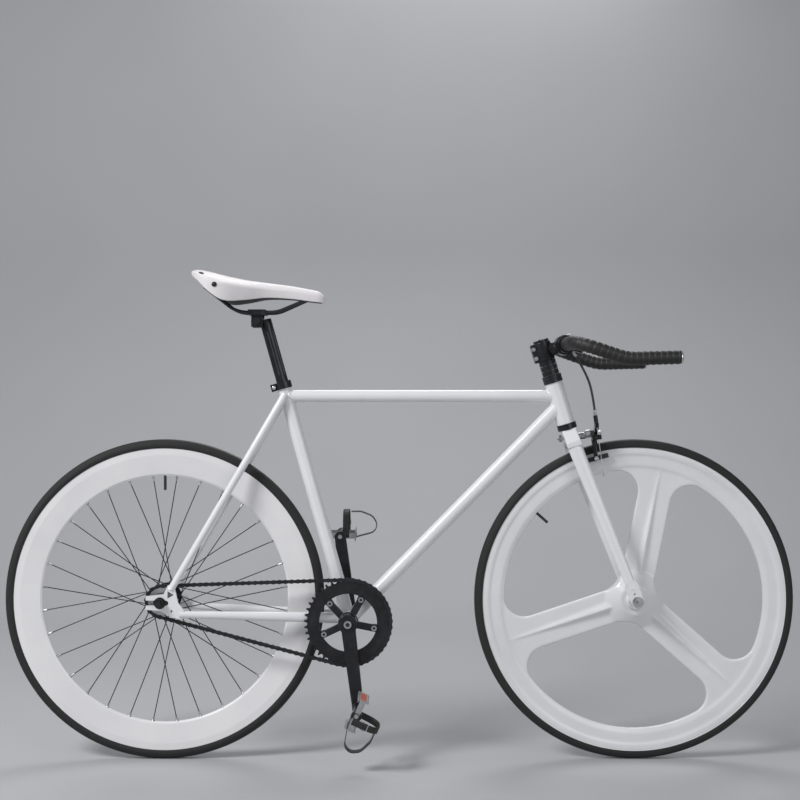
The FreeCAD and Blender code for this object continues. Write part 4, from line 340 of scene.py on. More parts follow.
def softened(node, body, slot, grain, passes):
    """A cast or forged piece: the CAD solid's skin on an even grid, its edges rounded by smoothing."""
    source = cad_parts[node]
    material = source.material_slots[0].material
    holder = stand("carrier", outer_shell(source))
    grid = holder.modifiers.new("grid", "REMESH")
    grid.mode = "VOXEL"
    grid.voxel_size = grain
    wear = holder.modifiers.new("wear", "SMOOTH")
    wear.factor = 0.5
    wear.iterations = passes
    all_smooth = 180
    piece = place_mesh(node + "_skin", baked(holder), material, body, slot, all_smooth)
    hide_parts(node)


softened("fork_crown", "steering", "white_paint", 0.0012, 16)


# Wheels: a deep rolled alloy rim laced with spokes at the rear, and a front wheel cast in one piece with
# its three spokes. Both are sprayed white, the cast one with less gloss. The inner tubes and the brake pads
# are black rubber.

rim_paint = white_lacquer("rim_white_lacquer", (0.80, 0.79, 0.795), (0.75, 0.74, 0.75), 0.30)
cast_paint = white_lacquer("cast_wheel_white_paint", (0.78, 0.775, 0.78), (0.72, 0.715, 0.725), 0.38)
dress(rim_paint, "rear_rim")
dress(cast_paint, "front_mag_wheel")
softened("front_mag_wheel", "front_wheel", "white_wheel", 0.0023, 6)


def revolved(centre, profile, around):
    """Points of a profile, given as radii and widths, turned about a wheel's axle."""
    return [centre + Vector((radius * cosine, y, radius * sine))
            for cosine, sine in circle(around) for radius, y in profile]


def rim_lip(name, y):
    """The hooked edge of the cast rim, a turned ring that holds the tyre's bead."""
    around, section = 288, 10
    lip_radius, half_height, half_width = 0.3183, 0.0014, 0.0013
    profile = [(lip_radius + half_height * cosine, y + half_width * sine) for cosine, sine in circle(section)]
    add_mesh(name, revolved(front_axle, profile, around), ring_faces(around, section, True), cast_paint,
             "front_wheel", "white_wheel", 60)


rim_lip("front_rim_lip_right", -0.0095)
rim_lip("front_rim_lip_left", 0.0095)
rubber, rubber_shader, rubber_place = new_finish("black_rubber")
draw(rubber_shader,
     rubber_place.noise(85.0, 4.0).ramp((0.3, (0.016, 0.016, 0.017)), (0.7, (0.03, 0.03, 0.031))),
     0.55 + 0.2 * rubber_place.noise(140.0))
dress(rubber, "front_inner_tube", "rear_inner_tube", "brake_pad_left", "brake_pad_right")


# Tyres: black road tyres moulded in rubber over a cloth carcass, held in the rims by their beads and the
# air. The crown is slick between two moulded lines, and the shoulders carry a fine file grain.

def tyre_rubber():
    """Slick on the crown, ribbed and duller on the shoulders, with dust along the tread."""
    material, shader, place = new_finish("tyre_rubber", "UV")
    along = place.make("ShaderNodeSeparateXYZ", out="X", Vector=place)
    across = place.make("ShaderNodeSeparateXYZ", out="Y", Vector=place)
    middle = across.maths("ABSOLUTE", across - 0.5)
    crown = middle.spread(0.13, 0.16)
    diagonal = along * 620.0 + middle * 260.0
    file_grain = diagonal.maths("SINE", diagonal)
    dust = place.make("ShaderNodeMapping", Vector=place, Scale=(40.0, 3.0, 1.0)).noise(3.0, 4.0)
    shade = dust * 0.6 + crown * 0.25
    draw(shader, shade.ramp((0.2, (0.008, 0.008, 0.0082)), (0.75, (0.019, 0.019, 0.0192))),
         0.42 + 0.28 * crown + 0.12 * dust, (0.35, 0.0004, crown * (file_grain * 0.5 + 0.5)))
    return material


tyre_finish = tyre_rubber()


def tyre(node, centre, rim_radius, body):
    """The tyre's section, from rim edge over the crown to rim edge, turned about the axle."""
    crown, half, wall = 0.33594, 0.0125, 0.002
    line_angles, line_reach, line_height = (1.05, 1.5), 0.06, 0.00025
    around, across = 288, 34
    middle = crown - half
    foot = acos((rim_radius - middle) / half)
    profile = []
    for step in range(across + 1):
        angle = -foot + 2 * foot * step / across
        on_line = any(abs(abs(angle) - line) < line_reach for line in line_angles)
        radius = half + (line_height if on_line else 0.0)
        profile.append((middle + radius * cos(angle), radius * sin(angle)))
    inner = half - wall
    for step in range(across // 2 + 1):
        angle = foot - 2 * foot * step / (across // 2)
        profile.append((middle + inner * cos(angle), inner * sin(angle)))
    count = len(profile)
    piece = add_mesh(node + "_tread", revolved(centre, profile, around), ring_faces(around, count, True),
                     tyre_finish, body, "tyre", 60)
    layer = piece.data.uv_layers.new(name="tread")
    for polygon in piece.data.polygons:
        corners = [divmod(vertex, count) for vertex in polygon.vertices]
        on_seam = {turn for turn, step in corners} == {0, around - 1}
        for loop, (turn, step) in zip(polygon.loop_indices, corners):
            if on_seam and turn == 0:
                turn = around
            layer.data[loop].uv = (turn / around, min(step / across, 1.0))
    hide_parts(node)


tyre("front_tyre", front_axle, 0.3185, "front_wheel")
tyre("rear_tyre", rear_axle, 0.317, "rear_wheel")


# Bar tape: a soft, leather-like strip, wound round each half of the bullhorn bar from its tip inwards.
# Each turn laps over the one before, so the skin rises along a turn and drops at its edge.

def bar_route():
    """The right half of the bar from its tip to the flat beside the stem, as points on its arcs."""
    bar_rise, bar_ahead, bend_side, flat_side = 0.5532, 0.044, 0.2, 0.062
    middle = steer_foot + steer_up * bar_rise + steer_ahead * bar_ahead
    bend = middle - left * bend_side
    dip = bend + Vector((0.1, 0, -0.034))
    tip = dip + Vector((0.105, 0, 0.003))
    flat = middle - left * flat_side
    corners = [tip, dip, bend, flat]
    bend_radii, bend_steps = [0.110, 0.055], 24
    route = [tip]
    for radius, before, corner, after in zip(bend_radii, corners, corners[1:], corners[2:]):
        back = (before - corner).normalized()
        ahead = (after - corner).normalized()
        half = back.angle(ahead) / 2
        centre = corner + (back + ahead).normalized() * (radius / sin(half))
        first = corner + back * (radius / tan(half)) - centre
        last = corner + ahead * (radius / tan(half)) - centre
        sweep = first.angle(last)
        for step in range(bend_steps + 1):
            share = step / bend_steps
            turned = first * sin((1 - share) * sweep) + last * sin(share * sweep)
            route.append(centre + turned / sin(sweep))
    route.append(flat)
    return route


def grained(place, scale, gap):
    """Leather grain: 0 in the creases between small cells, 1 on the cells."""
    cells = place.make("ShaderNodeTexVoronoi", {"feature": "DISTANCE_TO_EDGE"}, Vector=place, Scale=scale)
    return cells.spread(0.0, gap)


def tape_leather():
    """Grained tape, greyer where hands rub, with a dull, handled sheen and painted shade and highlight on
    each turn.
    """
    material, shader, place = new_finish("bar_tape_leather", Coat_Roughness=0.4, Coat_Weight=0.08)
    # painted shade and highlight: edge, the height of each turn, darkens the turn's low foot and lightens it
    # up to its raised edge
    edge = place.make("ShaderNodeAttribute", {"attribute_name": "lift"}, out="Fac")
    grain = grained(place, 900.0, 0.15)
    rub = place.noise(30.0, 4.0, 0.6)
    shade = rub * 0.7 + edge * 0.3
    draw(shader, shade.ramp((0.25, (0.006, 0.0055, 0.0055)), (0.85, (0.022, 0.020, 0.0195))),
         0.36 + 0.22 * rub + 0.1 * grain, (0.25, 0.0003, grain))
    return material


tape_finish = tape_leather()


def new_recipe(name, **sizes):
    """A Geometry Nodes tree with a named input for each size; gives the tree and those inputs."""
    tree = bpy.data.node_groups.new(name, "GeometryNodeTree")
    tree.interface.new_socket("Geometry", in_out="INPUT", socket_type="NodeSocketGeometry")
    tree.interface.new_socket("Geometry", in_out="OUTPUT", socket_type="NodeSocketGeometry")
    for size, kind in sizes.items():
        tree.interface.new_socket(size.replace("_", " "), in_out="INPUT", socket_type="NodeSocket" + kind)
    start = tree.nodes.new("NodeGroupInput")
    return tree, {socket.name: Shade(socket) for socket in start.outputs if socket.name}


def end_recipe(tree, geometry, material):
    """Ends a tree in Realize Instances and Set Material."""
    real = geometry.then("RealizeInstances")
    done = real.then("SetMaterial", Material=material)
    done.to(tree.nodes.new("NodeGroupOutput").inputs["Geometry"])


def grow(tree, carrier, **sizes):
    """Runs a tree on a carrier mesh with the given sizes; gives the result as a plain mesh."""
    holder = stand("carrier", carrier)
    change = holder.modifiers.new("recipe", "NODES")
    change.node_group = tree
    for item in tree.interface.items_tree:
        size = item.name.replace(" ", "_")
        if item.in_out == "INPUT" and size in sizes:
            change[item.identifier] = sizes[size]
    return baked(holder)


def path_mesh(name, route):
    """A chain of edges through the points of a route, for a tree to follow."""
    mesh = bpy.data.meshes.new(name + "_path")
    links = [(index, index + 1) for index in range(len(route) - 1)]
    mesh.from_pydata(route, links, [])
    return mesh


def stored(geometry, name, value):
    """Keeps a value under a name on each point of a geometry."""
    return geometry.then("StoreNamedAttribute", {"data_type": "FLOAT", "domain": "POINT"}, Name=name,
                         Value=value)


def named(geometry, name, kind="FLOAT"):
    """The values kept under a name."""
    return geometry.make("GeometryNodeInputNamedAttribute", {"data_type": kind}, Name=name)


def tape_recipe():
    """Tape round a path: a round sleeve whose skin rises along each turn and drops at its edge."""
    tree, given = new_recipe("wound_tape", Bar_Radius="Float", Pitch="Float", Rise="Float", Step="Float")
    path = given["Geometry"].then("MeshToCurve")
    even = path.then("ResampleCurve", {"mode": "LENGTH"}, Length=given["Step"])
    length = path.make("GeometryNodeSplineParameter", out="Length")
    share = path.make("GeometryNodeSplineParameter", out="Factor")
    run = stored(even, "run", length)
    ring = path.make("GeometryNodeCurvePrimitiveCircle", Resolution=40, Radius=given["Bar Radius"])
    turn = stored(ring, "turn", share)
    sleeve = run.then("CurveToMesh", Profile_Curve=turn, Fill_Caps=True)
    turns = sleeve.maths("DIVIDE", named(sleeve, "run"), given["Pitch"]) + named(sleeve, "turn")
    phase = turns.maths("FRACT", turns)
    edge_start = 0.9
    lift = phase.spread(0.0, edge_start) * phase.spread(1.0, edge_start)
    raised = stored(sleeve, "lift", lift)
    outward = raised.make("GeometryNodeInputNormal")
    offset = outward.make("ShaderNodeVectorMath", {"operation": "SCALE"}, Vector=outward,
                          Scale=lift * given["Rise"])
    wound = raised.then("SetPosition", Offset=offset)
    end_recipe(tree, wound, tape_finish)
    return tree


wound_tape = tape_recipe()


def wrapped_tape(name, side):
    """The tape on one half of the bar."""
    route = [Vector((point.x, point.y * side, point.z)) for point in bar_route()]
    mesh = grow(wound_tape, path_mesh(name, route), Bar_Radius=0.0126, Pitch=0.0118, Rise=0.0016, Step=0.0011)
    return place_mesh(name, mesh, tape_finish, "steering", "tape", 60)


right_tape = wrapped_tape("bar_tape_right", 1)
wrapped_tape("bar_tape_left", -1)
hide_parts("bar_tape")


# Cranks, stem, brake lever and caliper arms: forged aluminium, anodised or painted black. The dies and the
# polishing round every edge; the lever and the arms have a higher gloss and turn on steel pins.

softened("crank_right", "crankset", "black_alloy", 0.0013, 6)
softened("crank_left", "crankset", "black_alloy", 0.0013, 6)
softened("stem", "steering", "black_alloy", 0.0012, 5)
gloss_black = black_alloy("gloss_black_alloy", (0.012, 0.012, 0.013), 0.06)
dress(gloss_black, "caliper_arm_left", "caliper_arm_right", "brake_lever")
softened("brake_lever", "lever", "black_alloy", 0.0009, 5)
softened("caliper_arm_left", "arm_left", "black_alloy", 0.0006, 5)
softened("caliper_arm_right", "arm_right", "black_alloy", 0.0006, 5)


# Brake cable: black plastic housing over a wound steel wire, stiff enough to stand in one bow between the
# lever's clamp and the caliper's adjuster. Bright ferrules are pressed on its ends, and the bare wire runs
# on to the anchor and ends in a crimp.

plastic, plastic_shader, plastic_place = new_finish("black_plastic", Coat_Weight=0.1)
draw(plastic_shader,
     plastic_place.noise(44.0, 3.0).ramp((0.3, (0.018, 0.018, 0.018)), (0.7, (0.03, 0.03, 0.03))),
     0.38 + 0.2 * plastic_place.noise(190.0), (0.1, 0.0003, plastic_place.noise(700.0)))
dress(plastic, "brake_cable_housing")


def turned_form(start, end, profile):
    """Points and faces round a line; the profile gives shares of the line and radii."""
    axis = (end - start).normalized()
    side = axis.cross(left).normalized()
    other = axis.cross(side)
    around = 24
    points = [start + (end - start) * share + (side * cosine + other * sine) * radius
              for share, radius in profile for cosine, sine in circle(around)]
    return points, ring_faces(len(profile), around)


def fitting(name, start, end, profile):
    """A turned steel fitting of the cable."""
    return add_mesh(name, *turned_form(start, end, profile), bright_steel, "steering", "steel")


def brake_cable():
    """The housing on the CAD route's points, its ferrules, and the wire below the adjuster."""
    clamp_rise, clamp_ahead, clamp_side = 0.5332, 0.054, 0.041
    first = steer_foot + steer_up * clamp_rise + steer_ahead * clamp_ahead - left * clamp_side
    last = Vector((0.40766, -0.037, 0.72388))
    reach = last - first
    bow = steer_ahead * 0.010
    route = [first, first + reach / 3 + bow, first + reach * 2 / 3 + bow, last]
    line = bpy.data.curves.new("cable_housing", "CURVE")
    line.dimensions = "3D"
    spline = line.splines.new("NURBS")
    spline.points.add(len(route) - 1)
    for point, place in zip(spline.points, route):
        point.co = (*place, 1.0)
    spline.order_u = 3
    spline.use_endpoint_u = True
    spline.resolution_u = 24
    line.bevel_depth = 0.0025
    line.bevel_resolution = 6
    line.use_fill_caps = True
    line.materials.append(plastic)
    housing = stand("cable_housing", line)
    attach(housing, "steering")
    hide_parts("brake_cable_housing")
    cap_length = 0.010
    cap = ((0.0, 0.0026), (0.0, 0.0029), (0.08, 0.0031), (0.75, 0.0031), (0.82, 0.0028), (1.0, 0.0028),
           (1.0, 0.0024))
    upper = fitting("cable_ferrule_upper", first, first + (route[1] - first).normalized() * cap_length, cap)
    lower = fitting("cable_ferrule_lower", last, last + (route[2] - last).normalized() * cap_length, cap)
    wire_top = Vector((0.40779, -0.037, 0.72299))
    wire_foot = Vector((0.42561, -0.037, 0.59621))
    crimped = ((0.0, 0.0006), (0.0, 0.0011), (0.012, 0.0014), (0.060, 0.0014), (0.072, 0.0009),
               (0.074, 0.0008), (1.0, 0.0008))
    fitting("brake_wire", wire_foot, wire_top, crimped)


brake_cable()


# Bar end plugs: domed caps of polished alloy, turned, and pushed into the ends of the bar so that their
# flanges hold the tape.

def join(*forms):
    """Several lists of points and faces as one."""
    points = []
    faces = []
    for some_points, some_faces in forms:
        base = len(points)
        points.extend(some_points)
        faces.extend(tuple(base + corner for corner in face) for face in some_faces)
    return points, faces


def plugs():
    """Both caps as one piece, each turned on the line of its horn."""
    tip, before = bar_route()[:2]
    ahead = (tip - before).normalized()
    inside, outside = 0.004, 0.0062
    dome = ((0.0, 0.0098), (0.0, 0.0124), (0.38, 0.0131), (0.58, 0.0132), (0.70, 0.0127), (0.82, 0.0111),
            (0.91, 0.0086), (0.97, 0.0054), (1.0, 0.0018))
    caps = []
    for side in (1, -1):
        foot = Vector((tip.x, tip.y * side, tip.z))
        caps.append(turned_form(foot - ahead * inside, foot + ahead * outside, dome))
    piece = add_mesh("bar_end_caps", *join(*caps), polished, "steering", "chrome", 50)
    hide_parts("bar_end_plugs")


plugs()


# Saddle: a white leather-like cover drawn over thin padding on a moulded base, black below. The cover is
# riveted at the tail, and the base hangs on two steel rails.

def saddle_leather():
    """White leather, soft in gloss, with fine creases and a faint stain."""
    material, shader, place = new_finish("saddle_white_leather", Sheen_Weight=0.15, Coat_Weight=0.12,
                                         Coat_Roughness=0.3)
    crease = grained(place, 520.0, 0.12)
    stain = place.noise(14.0, 5.0, 0.6)
    shade = stain * 0.8 + crease * 0.12
    draw(shader, shade.ramp((0.25, (0.74, 0.70, 0.71)), (0.7, (0.81, 0.78, 0.785))),
         0.5 - 0.12 * crease + 0.1 * stain, (0.22, 0.0004, crease + 0.6 * place.noise(60.0)))
    return material


saddle_white = saddle_leather()
# along the length: half width, crown, edge of the crown, half width, foot and roof of the skirt
saddle_rows = (
    (0.0, 0.25, 0.985, 0.925, 0.24, 0.825, 0.85), (0.02, 0.33, 1.007, 0.90, 0.31, 0.745, 0.80),
    (0.06, 0.42, 1.005, 0.86, 0.40, 0.615, 0.72), (0.14, 0.485, 0.945, 0.69, 0.465, 0.31, 0.58),
    (0.25, 0.475, 0.835, 0.56, 0.45, 0.045, 0.47), (0.40, 0.36, 0.715, 0.47, 0.34, 0.06, 0.34),
    (0.56, 0.22, 0.63, 0.42, 0.205, 0.15, 0.25), (0.75, 0.145, 0.535, 0.37, 0.13, 0.13, 0.18),
    (0.92, 0.123, 0.415, 0.28, 0.106, 0.05, 0.09), (0.97, 0.113, 0.365, 0.245, 0.096, 0.03, 0.065),
    (1.0, 0.088, 0.275, 0.19, 0.073, 0.025, 0.05))
saddle_size = Vector((0.272, 0.152, 0.070))
saddle_corner = Vector((-0.432, 0, 0.957))
crown_steps, skirt_steps, below_steps = 19, 8, 11


def smooth_between(rows, share):
    """A row between the given rows, smoothly, at a share of the first column."""
    last = len(rows) - 1
    index = min(max(number for number, row in enumerate(rows) if row[0] <= share + 1e-9), last - 1)
    before, first, second, after = (rows[min(max(index + step, 0), last)] for step in (-1, 0, 1, 2))
    span = second[0] - first[0]
    at = (share - first[0]) / span
    out = []
    for column in range(1, len(first)):
        slope_a = (second[column] - before[column]) / (second[0] - before[0]) * span
        slope_b = (after[column] - first[column]) / (after[0] - first[0]) * span
        out.append((2 * at ** 3 - 3 * at ** 2 + 1) * first[column] + (at ** 3 - 2 * at ** 2 + at) * slope_a
                   + (3 * at ** 2 - 2 * at ** 3) * second[column] + (at ** 3 - at ** 2) * slope_b)
    return out


def saddle_ring(share, shrink):
    """The saddle's outline across at a share of its length; shrink draws it together at the two ends."""
    wide, crown, edge, foot_wide, foot, roof = smooth_between(saddle_rows, share)
    lip_width, lip_drop = 0.016, 0.012
    crown_power, skirt_power = 2.5, 1.5
    half = []
    for step in range(1, skirt_steps):
        at = step / skirt_steps
        half.append((wide + (foot_wide - wide) * at ** skirt_power, edge + (foot - edge) * at))
    half.append((foot_wide, foot))
    half.append((foot_wide - lip_width, foot - lip_drop))
    ring = []
    for step in range(crown_steps):
        at = 1 - 2 * step / (crown_steps - 1)
        ring.append((wide * at, edge + (crown - edge) * (1 - abs(at) ** crown_power)))
    ring.extend((-y, z) for y, z in half)
    for step in range(1, below_steps):
        at = -1 + 2 * step / below_steps
        ring.append(((foot_wide - 2 * lip_width) * at, foot + (roof - foot) * (1 - at ** 2)))
    ring.extend(reversed(half))
    middle = (crown + foot) / 2
    return [(y * shrink, middle + (z - middle) * shrink) for y, z in ring]


def saddle():
    """Cover and base in one closed form: crowned top, rolled shoulders, skirts and a hollow below."""
    rows = 60
    places = [(0.0, 0.45, -0.010), (0.0, 0.82, -0.006)]
    places += [((1 - cos(pi * row / rows)) / 2, 1.0, 0.0) for row in range(rows + 1)]
    places += [(1.0, 0.85, 0.006), (1.0, 0.5, 0.010)]
    points = []
    for share, shrink, beyond in places:
        ring = saddle_ring(share, shrink)
        points.extend(saddle_corner + saddle_size * Vector((share + beyond, y, z)) for y, z in ring)
    ring_size = len(points) // len(places)
    piece = add_mesh("saddle_cover", points, ring_faces(len(places), ring_size), saddle_white, "saddle",
                     "white_leather", 80)
    piece.data.materials.append(plastic)
    first_below = crown_steps + skirt_steps - 1
    last_below = first_below + below_steps + 2
    first_row, last_row = 4, rows - 2
    for polygon in piece.data.polygons:
        columns = [vertex % ring_size for vertex in polygon.vertices]
        row = min(polygon.vertices) // ring_size
        if min(columns) >= first_below and max(columns) <= last_below and first_row <= row < last_row:
            polygon.material_index = 1
    smooth = piece.modifiers.new("smooth", "SUBSURF")
    smooth.levels = 1
    smooth.render_levels = 1
    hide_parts("saddle_top")


saddle()


# Saddle rivets: blackened steel, each a washer and a low domed head, driven through the cover and the base
# and flattened inside. Two stand on each side of the tail.

def head_recipe():
    """A washer and a low dome on each point, standing along the point's stored direction."""
    tree, given = new_recipe("heads", Sides="Int", Washer_Radius="Float", Washer_Height="Float",
                             Dome_Radius="Float", Dome_Share="Float")
    start = given["Geometry"]
    washer = start.make("GeometryNodeMeshCylinder", Vertices=given["Sides"], Radius=given["Washer Radius"],
                        Depth=given["Washer Height"])
    ball = start.make("GeometryNodeMeshUVSphere", Segments=24, Rings=12, Radius=given["Dome Radius"])
    flat = start.make("ShaderNodeCombineXYZ", X=1.0, Y=1.0, Z=given["Dome Share"])
    dome = ball.then("Transform", Scale=flat)
    both = dome.then("JoinGeometry")
    washer.to(both.socket.node.inputs["Geometry"])
    out = named(start, "out", "FLOAT_VECTOR")
    upright = out.make("FunctionNodeAlignRotationToVector", {"axis": "Z"}, Vector=out)
    copies = start.then("InstanceOnPoints", Instance=both, Rotation=upright)
    end_recipe(tree, copies, dark_steel)
    return tree


head_tree = head_recipe()


def heads(name, spots, outs, finish, body, slot, **sizes):
    """Heads of one size at the given spots, each facing its own direction."""
    carrier = bpy.data.meshes.new(name + "_spots")
    carrier.from_pydata(spots, [], [])
    direction = carrier.attributes.new("out", "FLOAT_VECTOR", "POINT")
    for item, out in zip(direction.data, outs):
        item.vector = out
    return place_mesh(name, grow(head_tree, carrier, **sizes), finish, body, slot)


def rivets():
    """The four rivets, standing square to the cover's skin."""
    spots = []
    outs = []
    near = 0.01
    for share, height in ((0.085, 0.86), (0.19, 0.51)):
        rows = []
        for place in (share - near, share, share + near):
            half = saddle_ring(place, 1.0)[crown_steps // 2:crown_steps + skirt_steps]
            index = min(range(1, len(half) - 1), key=lambda number: abs(half[number][1] - height))
            rows.append([saddle_size * Vector((place, *half[index + step])) for step in (-1, 0, 1)])
        along = rows[2][1] - rows[0][1]
        down = rows[1][2] - rows[1][0]
        out = along.cross(down).normalized()
        for side in (1, -1):
            mirror = Vector((1, -side, 1))
            spots.append(saddle_corner + rows[1][1] * mirror)
            outs.append(out * mirror * (1 if out.y < 0 else -1))
    piece = heads("saddle_rivet_heads", spots, outs, dark_steel, "saddle", "dark_steel", Sides=28,
                  Washer_Radius=0.0052, Washer_Height=0.0018, Dome_Radius=0.0039, Dome_Share=0.55)
    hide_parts("saddle_rivets")


rivets()


# Seatpost: forged aluminium, anodised black, with lengthwise flutes in its shaft and a cross head on which
# the saddle clamp is bolted. It slides in the seat tube.

def seatpost():
    """The fluted shaft and its cross head in one piece."""
    shaft_radius, flutes, flute_depth = 0.0127, 8, 0.0013
    head_rise, head_set_back = 0.656, 0.016
    around, head_around = 96, 48
    # along the shaft: height over the bracket, share of the flutes' depth, and drawing in at the top edge
    stations = ((0.406, 0.0, 0.0), (0.5265, 0.0, 0.0), (0.530, 0.25, 0.0), (0.534, 0.75, 0.0),
                (0.538, 1.0, 0.0), (0.625, 1.0, 0.0), (0.629, 0.75, 0.0), (0.633, 0.25, 0.0),
                (0.6365, 0.0, 0.0), (0.6545, 0.0, 0.0), (0.6556, 0.0, 0.0005), (head_rise, 0.0, 0.0016))
    shaft = []
    for along, depth, shrink in stations:
        for step, (cosine, sine) in enumerate(circle(around)):
            groove = max(0.0, cos(flutes * 2 * pi * step / around)) * flute_depth * depth
            out = seat_ahead * cosine + left * sine
            shaft.append(bracket + seat_up * along + out * (shaft_radius - groove - shrink))
    middle = bracket + seat_up * head_rise - seat_ahead * head_set_back
    profile = ((-0.0150, 0.0121), (-0.0142, 0.0129), (-0.0050, 0.0129), (-0.0042, 0.0123), (0.0042, 0.0123),
               (0.0050, 0.0129), (0.0142, 0.0129), (0.0150, 0.0121))
    head = [middle + left * y + (seat_ahead * cosine + seat_up * sine) * radius
            for y, radius in profile for cosine, sine in circle(head_around)]
    form = join((shaft, ring_faces(len(stations), around)), (head, ring_faces(len(profile), head_around)))
    piece = add_mesh("seatpost_fluted", *form, alloy, "seatpost", "black_alloy", 30)
    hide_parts("seatpost")


seatpost()


# Bolt heads: the chromed bolt of the seat clamp, the six-sided sockets in the chainring and crank bolts,
# and the nuts that hold the brake pads to their arms. All are turned or pressed steel.

right_out, left_out = (0, -1, 0), (0, 1, 0)
heads("seat_bolt_heads", [(-0.2635, y, 0.7802) for y in (-0.013, 0.013)], [right_out, left_out], polished,
      "frame", "chrome", Sides=28, Washer_Radius=0.0043, Washer_Height=0.0016, Dome_Radius=0.0038,
      Dome_Share=0.45)
socket = dict(Sides=6, Washer_Height=0.0003, Dome_Radius=0.0012, Dome_Share=0.05)
bolt_count, bolt_circle, bolt_start, bolt_face = 5, 0.055, 277, -0.0510
bolt_angles = [radians(bolt_start + 360 / bolt_count * index) for index in range(bolt_count)]
ring_bolts = [bracket + Vector((bolt_circle * cos(angle), bolt_face, bolt_circle * sin(angle)))
              for angle in bolt_angles]
heads("ring_bolt_sockets", ring_bolts, [right_out] * bolt_count, dark_steel, "crankset", "dark_steel",
      Washer_Radius=0.0031, **socket)
heads("crank_bolt_sockets", [bracket + left * y for y in (-0.072, 0.072)], [right_out, left_out], dark_steel,
      "crankset", "dark_steel", Washer_Radius=0.0046, **socket)
for side, spot, out in (("right", (0.41083, -0.0362, 0.63252), right_out),
                        ("left", (0.42034, 0.0362, 0.63385), left_out)):
    heads("pad_nut_" + side, [spot], [out], bright_steel, "arm_" + side, "steel", Sides=6,
          Washer_Radius=0.0052, Washer_Height=0.0042, Dome_Radius=0.0028, Dome_Share=0.95)


# Spoke eyelets: small ferrules of bright pressed steel that line the holes of the rear rim, one for each
# spoke, so that the nipples don't wear the alloy.

def eyelet_recipe():
    """Small cones set evenly round a circle, each pointing at the hub."""
    tree, given = new_recipe("rim_eyelets", Count="Int", Circle_Radius="Float", Foot="Float", Tip="Float",
                             Height="Float")
    start = given["Geometry"]
    ring = start.make("GeometryNodeMeshCircle", Vertices=given["Count"], Radius=given["Circle Radius"])
    upright = ring.then("Transform", Rotation=(pi / 2, 0, 0))
    cone = start.make("GeometryNodeMeshCone", {"fill_type": "NGON"}, Vertices=14, Radius_Bottom=given["Foot"],
                      Radius_Top=given["Tip"], Depth=given["Height"])
    place = start.make("GeometryNodeInputPosition")
    inward = place.make("ShaderNodeVectorMath", {"operation": "SCALE"}, Vector=place, Scale=-1.0)
    facing = inward.make("FunctionNodeAlignRotationToVector", {"axis": "Z"}, Vector=inward)
    copies = upright.then("InstanceOnPoints", Instance=cone, Rotation=facing)
    end_recipe(tree, copies, bright_steel)
    return tree


def eyelets():
    """The rear rim's eyelets, half a step round from the level line as the spokes are."""
    spokes = 32
    mesh = grow(eyelet_recipe(), bpy.data.meshes.new("eyelet_carrier"), Count=spokes, Circle_Radius=0.2584,
                Foot=0.0036, Tip=0.0024, Height=0.0022)
    cosine, sine = cos(pi / spokes), sin(pi / spokes)
    for vertex in mesh.vertices:
        x, y, z = vertex.co
        vertex.co = rear_axle + Vector((x * cosine - z * sine, y, x * sine + z * cosine))
    place_mesh("rim_eyelets", mesh, bright_steel, "rear_wheel", "steel")


eyelets()


# Pedals: a black barrel between two bright end bars, with toothed plates riveted in front and behind and
# an amber reflector on the rear plate. A sprung steel toe clip is bolted to the front plate, and a leather
# strap with a chromed buckle goes through its loop.

def strap_leather():
    """Black strap leather, cracked and paler in patches."""
    material, shader, place = new_finish("strap_leather", Coat_Weight=0.05)
    wear = place.noise(70.0, 4.0, 0.6)
    draw(shader, wear.ramp((0.35, (0.010, 0.009, 0.009)), (0.8, (0.035, 0.031, 0.029))), 0.5 + 0.25 * wear,
         (0.3, 0.0003, grained(place, 1100.0, 0.2)))
    return material


def reflector_plastic():
    """Amber reflector: clear coloured plastic with fine prisms moulded side by side behind."""
    material, shader, place = new_finish("amber_reflector", Roughness=0.3, Specular_IOR_Level=0.15)
    across = place.make("ShaderNodeSeparateXYZ", out="Y", Vector=place) * 2500.0
    prisms = across.maths("SINE", across) * 0.5 + 0.5
    draw(shader, prisms.ramp((0.1, (0.72, 0.11, 0.006)), (0.9, (0.40, 0.045, 0.004))),
         bump=(0.4, 0.0005, prisms))
    return material


def plate_recipe():
    """A flat plate with a row of pointed teeth on its two long edges."""
    tree, given = new_recipe("toothed_plate", Plate="Vector", Teeth="Int", Pitch="Float",
                             Tooth_Radius="Float", Tooth_Height="Float", Tooth_Share="Float",
                             Row_Start="Vector", Row_Turn="Vector")
    start = given["Geometry"]
    plate = start.make("GeometryNodeMeshCube", Size=given["Plate"])
    step = start.make("ShaderNodeCombineXYZ", Y=given["Pitch"])
    row = step.make("GeometryNodeMeshLine", Count=given["Teeth"], Start_Location=given["Row Start"],
                    Offset=step)
    blunted = 0.3
    cone = start.make("GeometryNodeMeshCone", {"fill_type": "NGON"}, Vertices=4,
                      Radius_Bottom=given["Tooth Radius"], Radius_Top=given["Tooth Radius"] * blunted,
                      Depth=given["Tooth Height"])
    square = cone.then("Transform", Rotation=(0, 0, pi / 4))
    thin = start.make("ShaderNodeCombineXYZ", X=given["Tooth Share"], Y=1.0, Z=1.0)
    slim = square.then("Transform", Scale=thin)
    above = row.then("InstanceOnPoints", Instance=slim)
    below = above.then("Transform", Rotation=given["Row Turn"])
    whole = plate.then("JoinGeometry")
    above.to(whole.socket.node.inputs["Geometry"])
    below.to(whole.socket.node.inputs["Geometry"])
    end_recipe(tree, whole, bright_steel)
    return tree


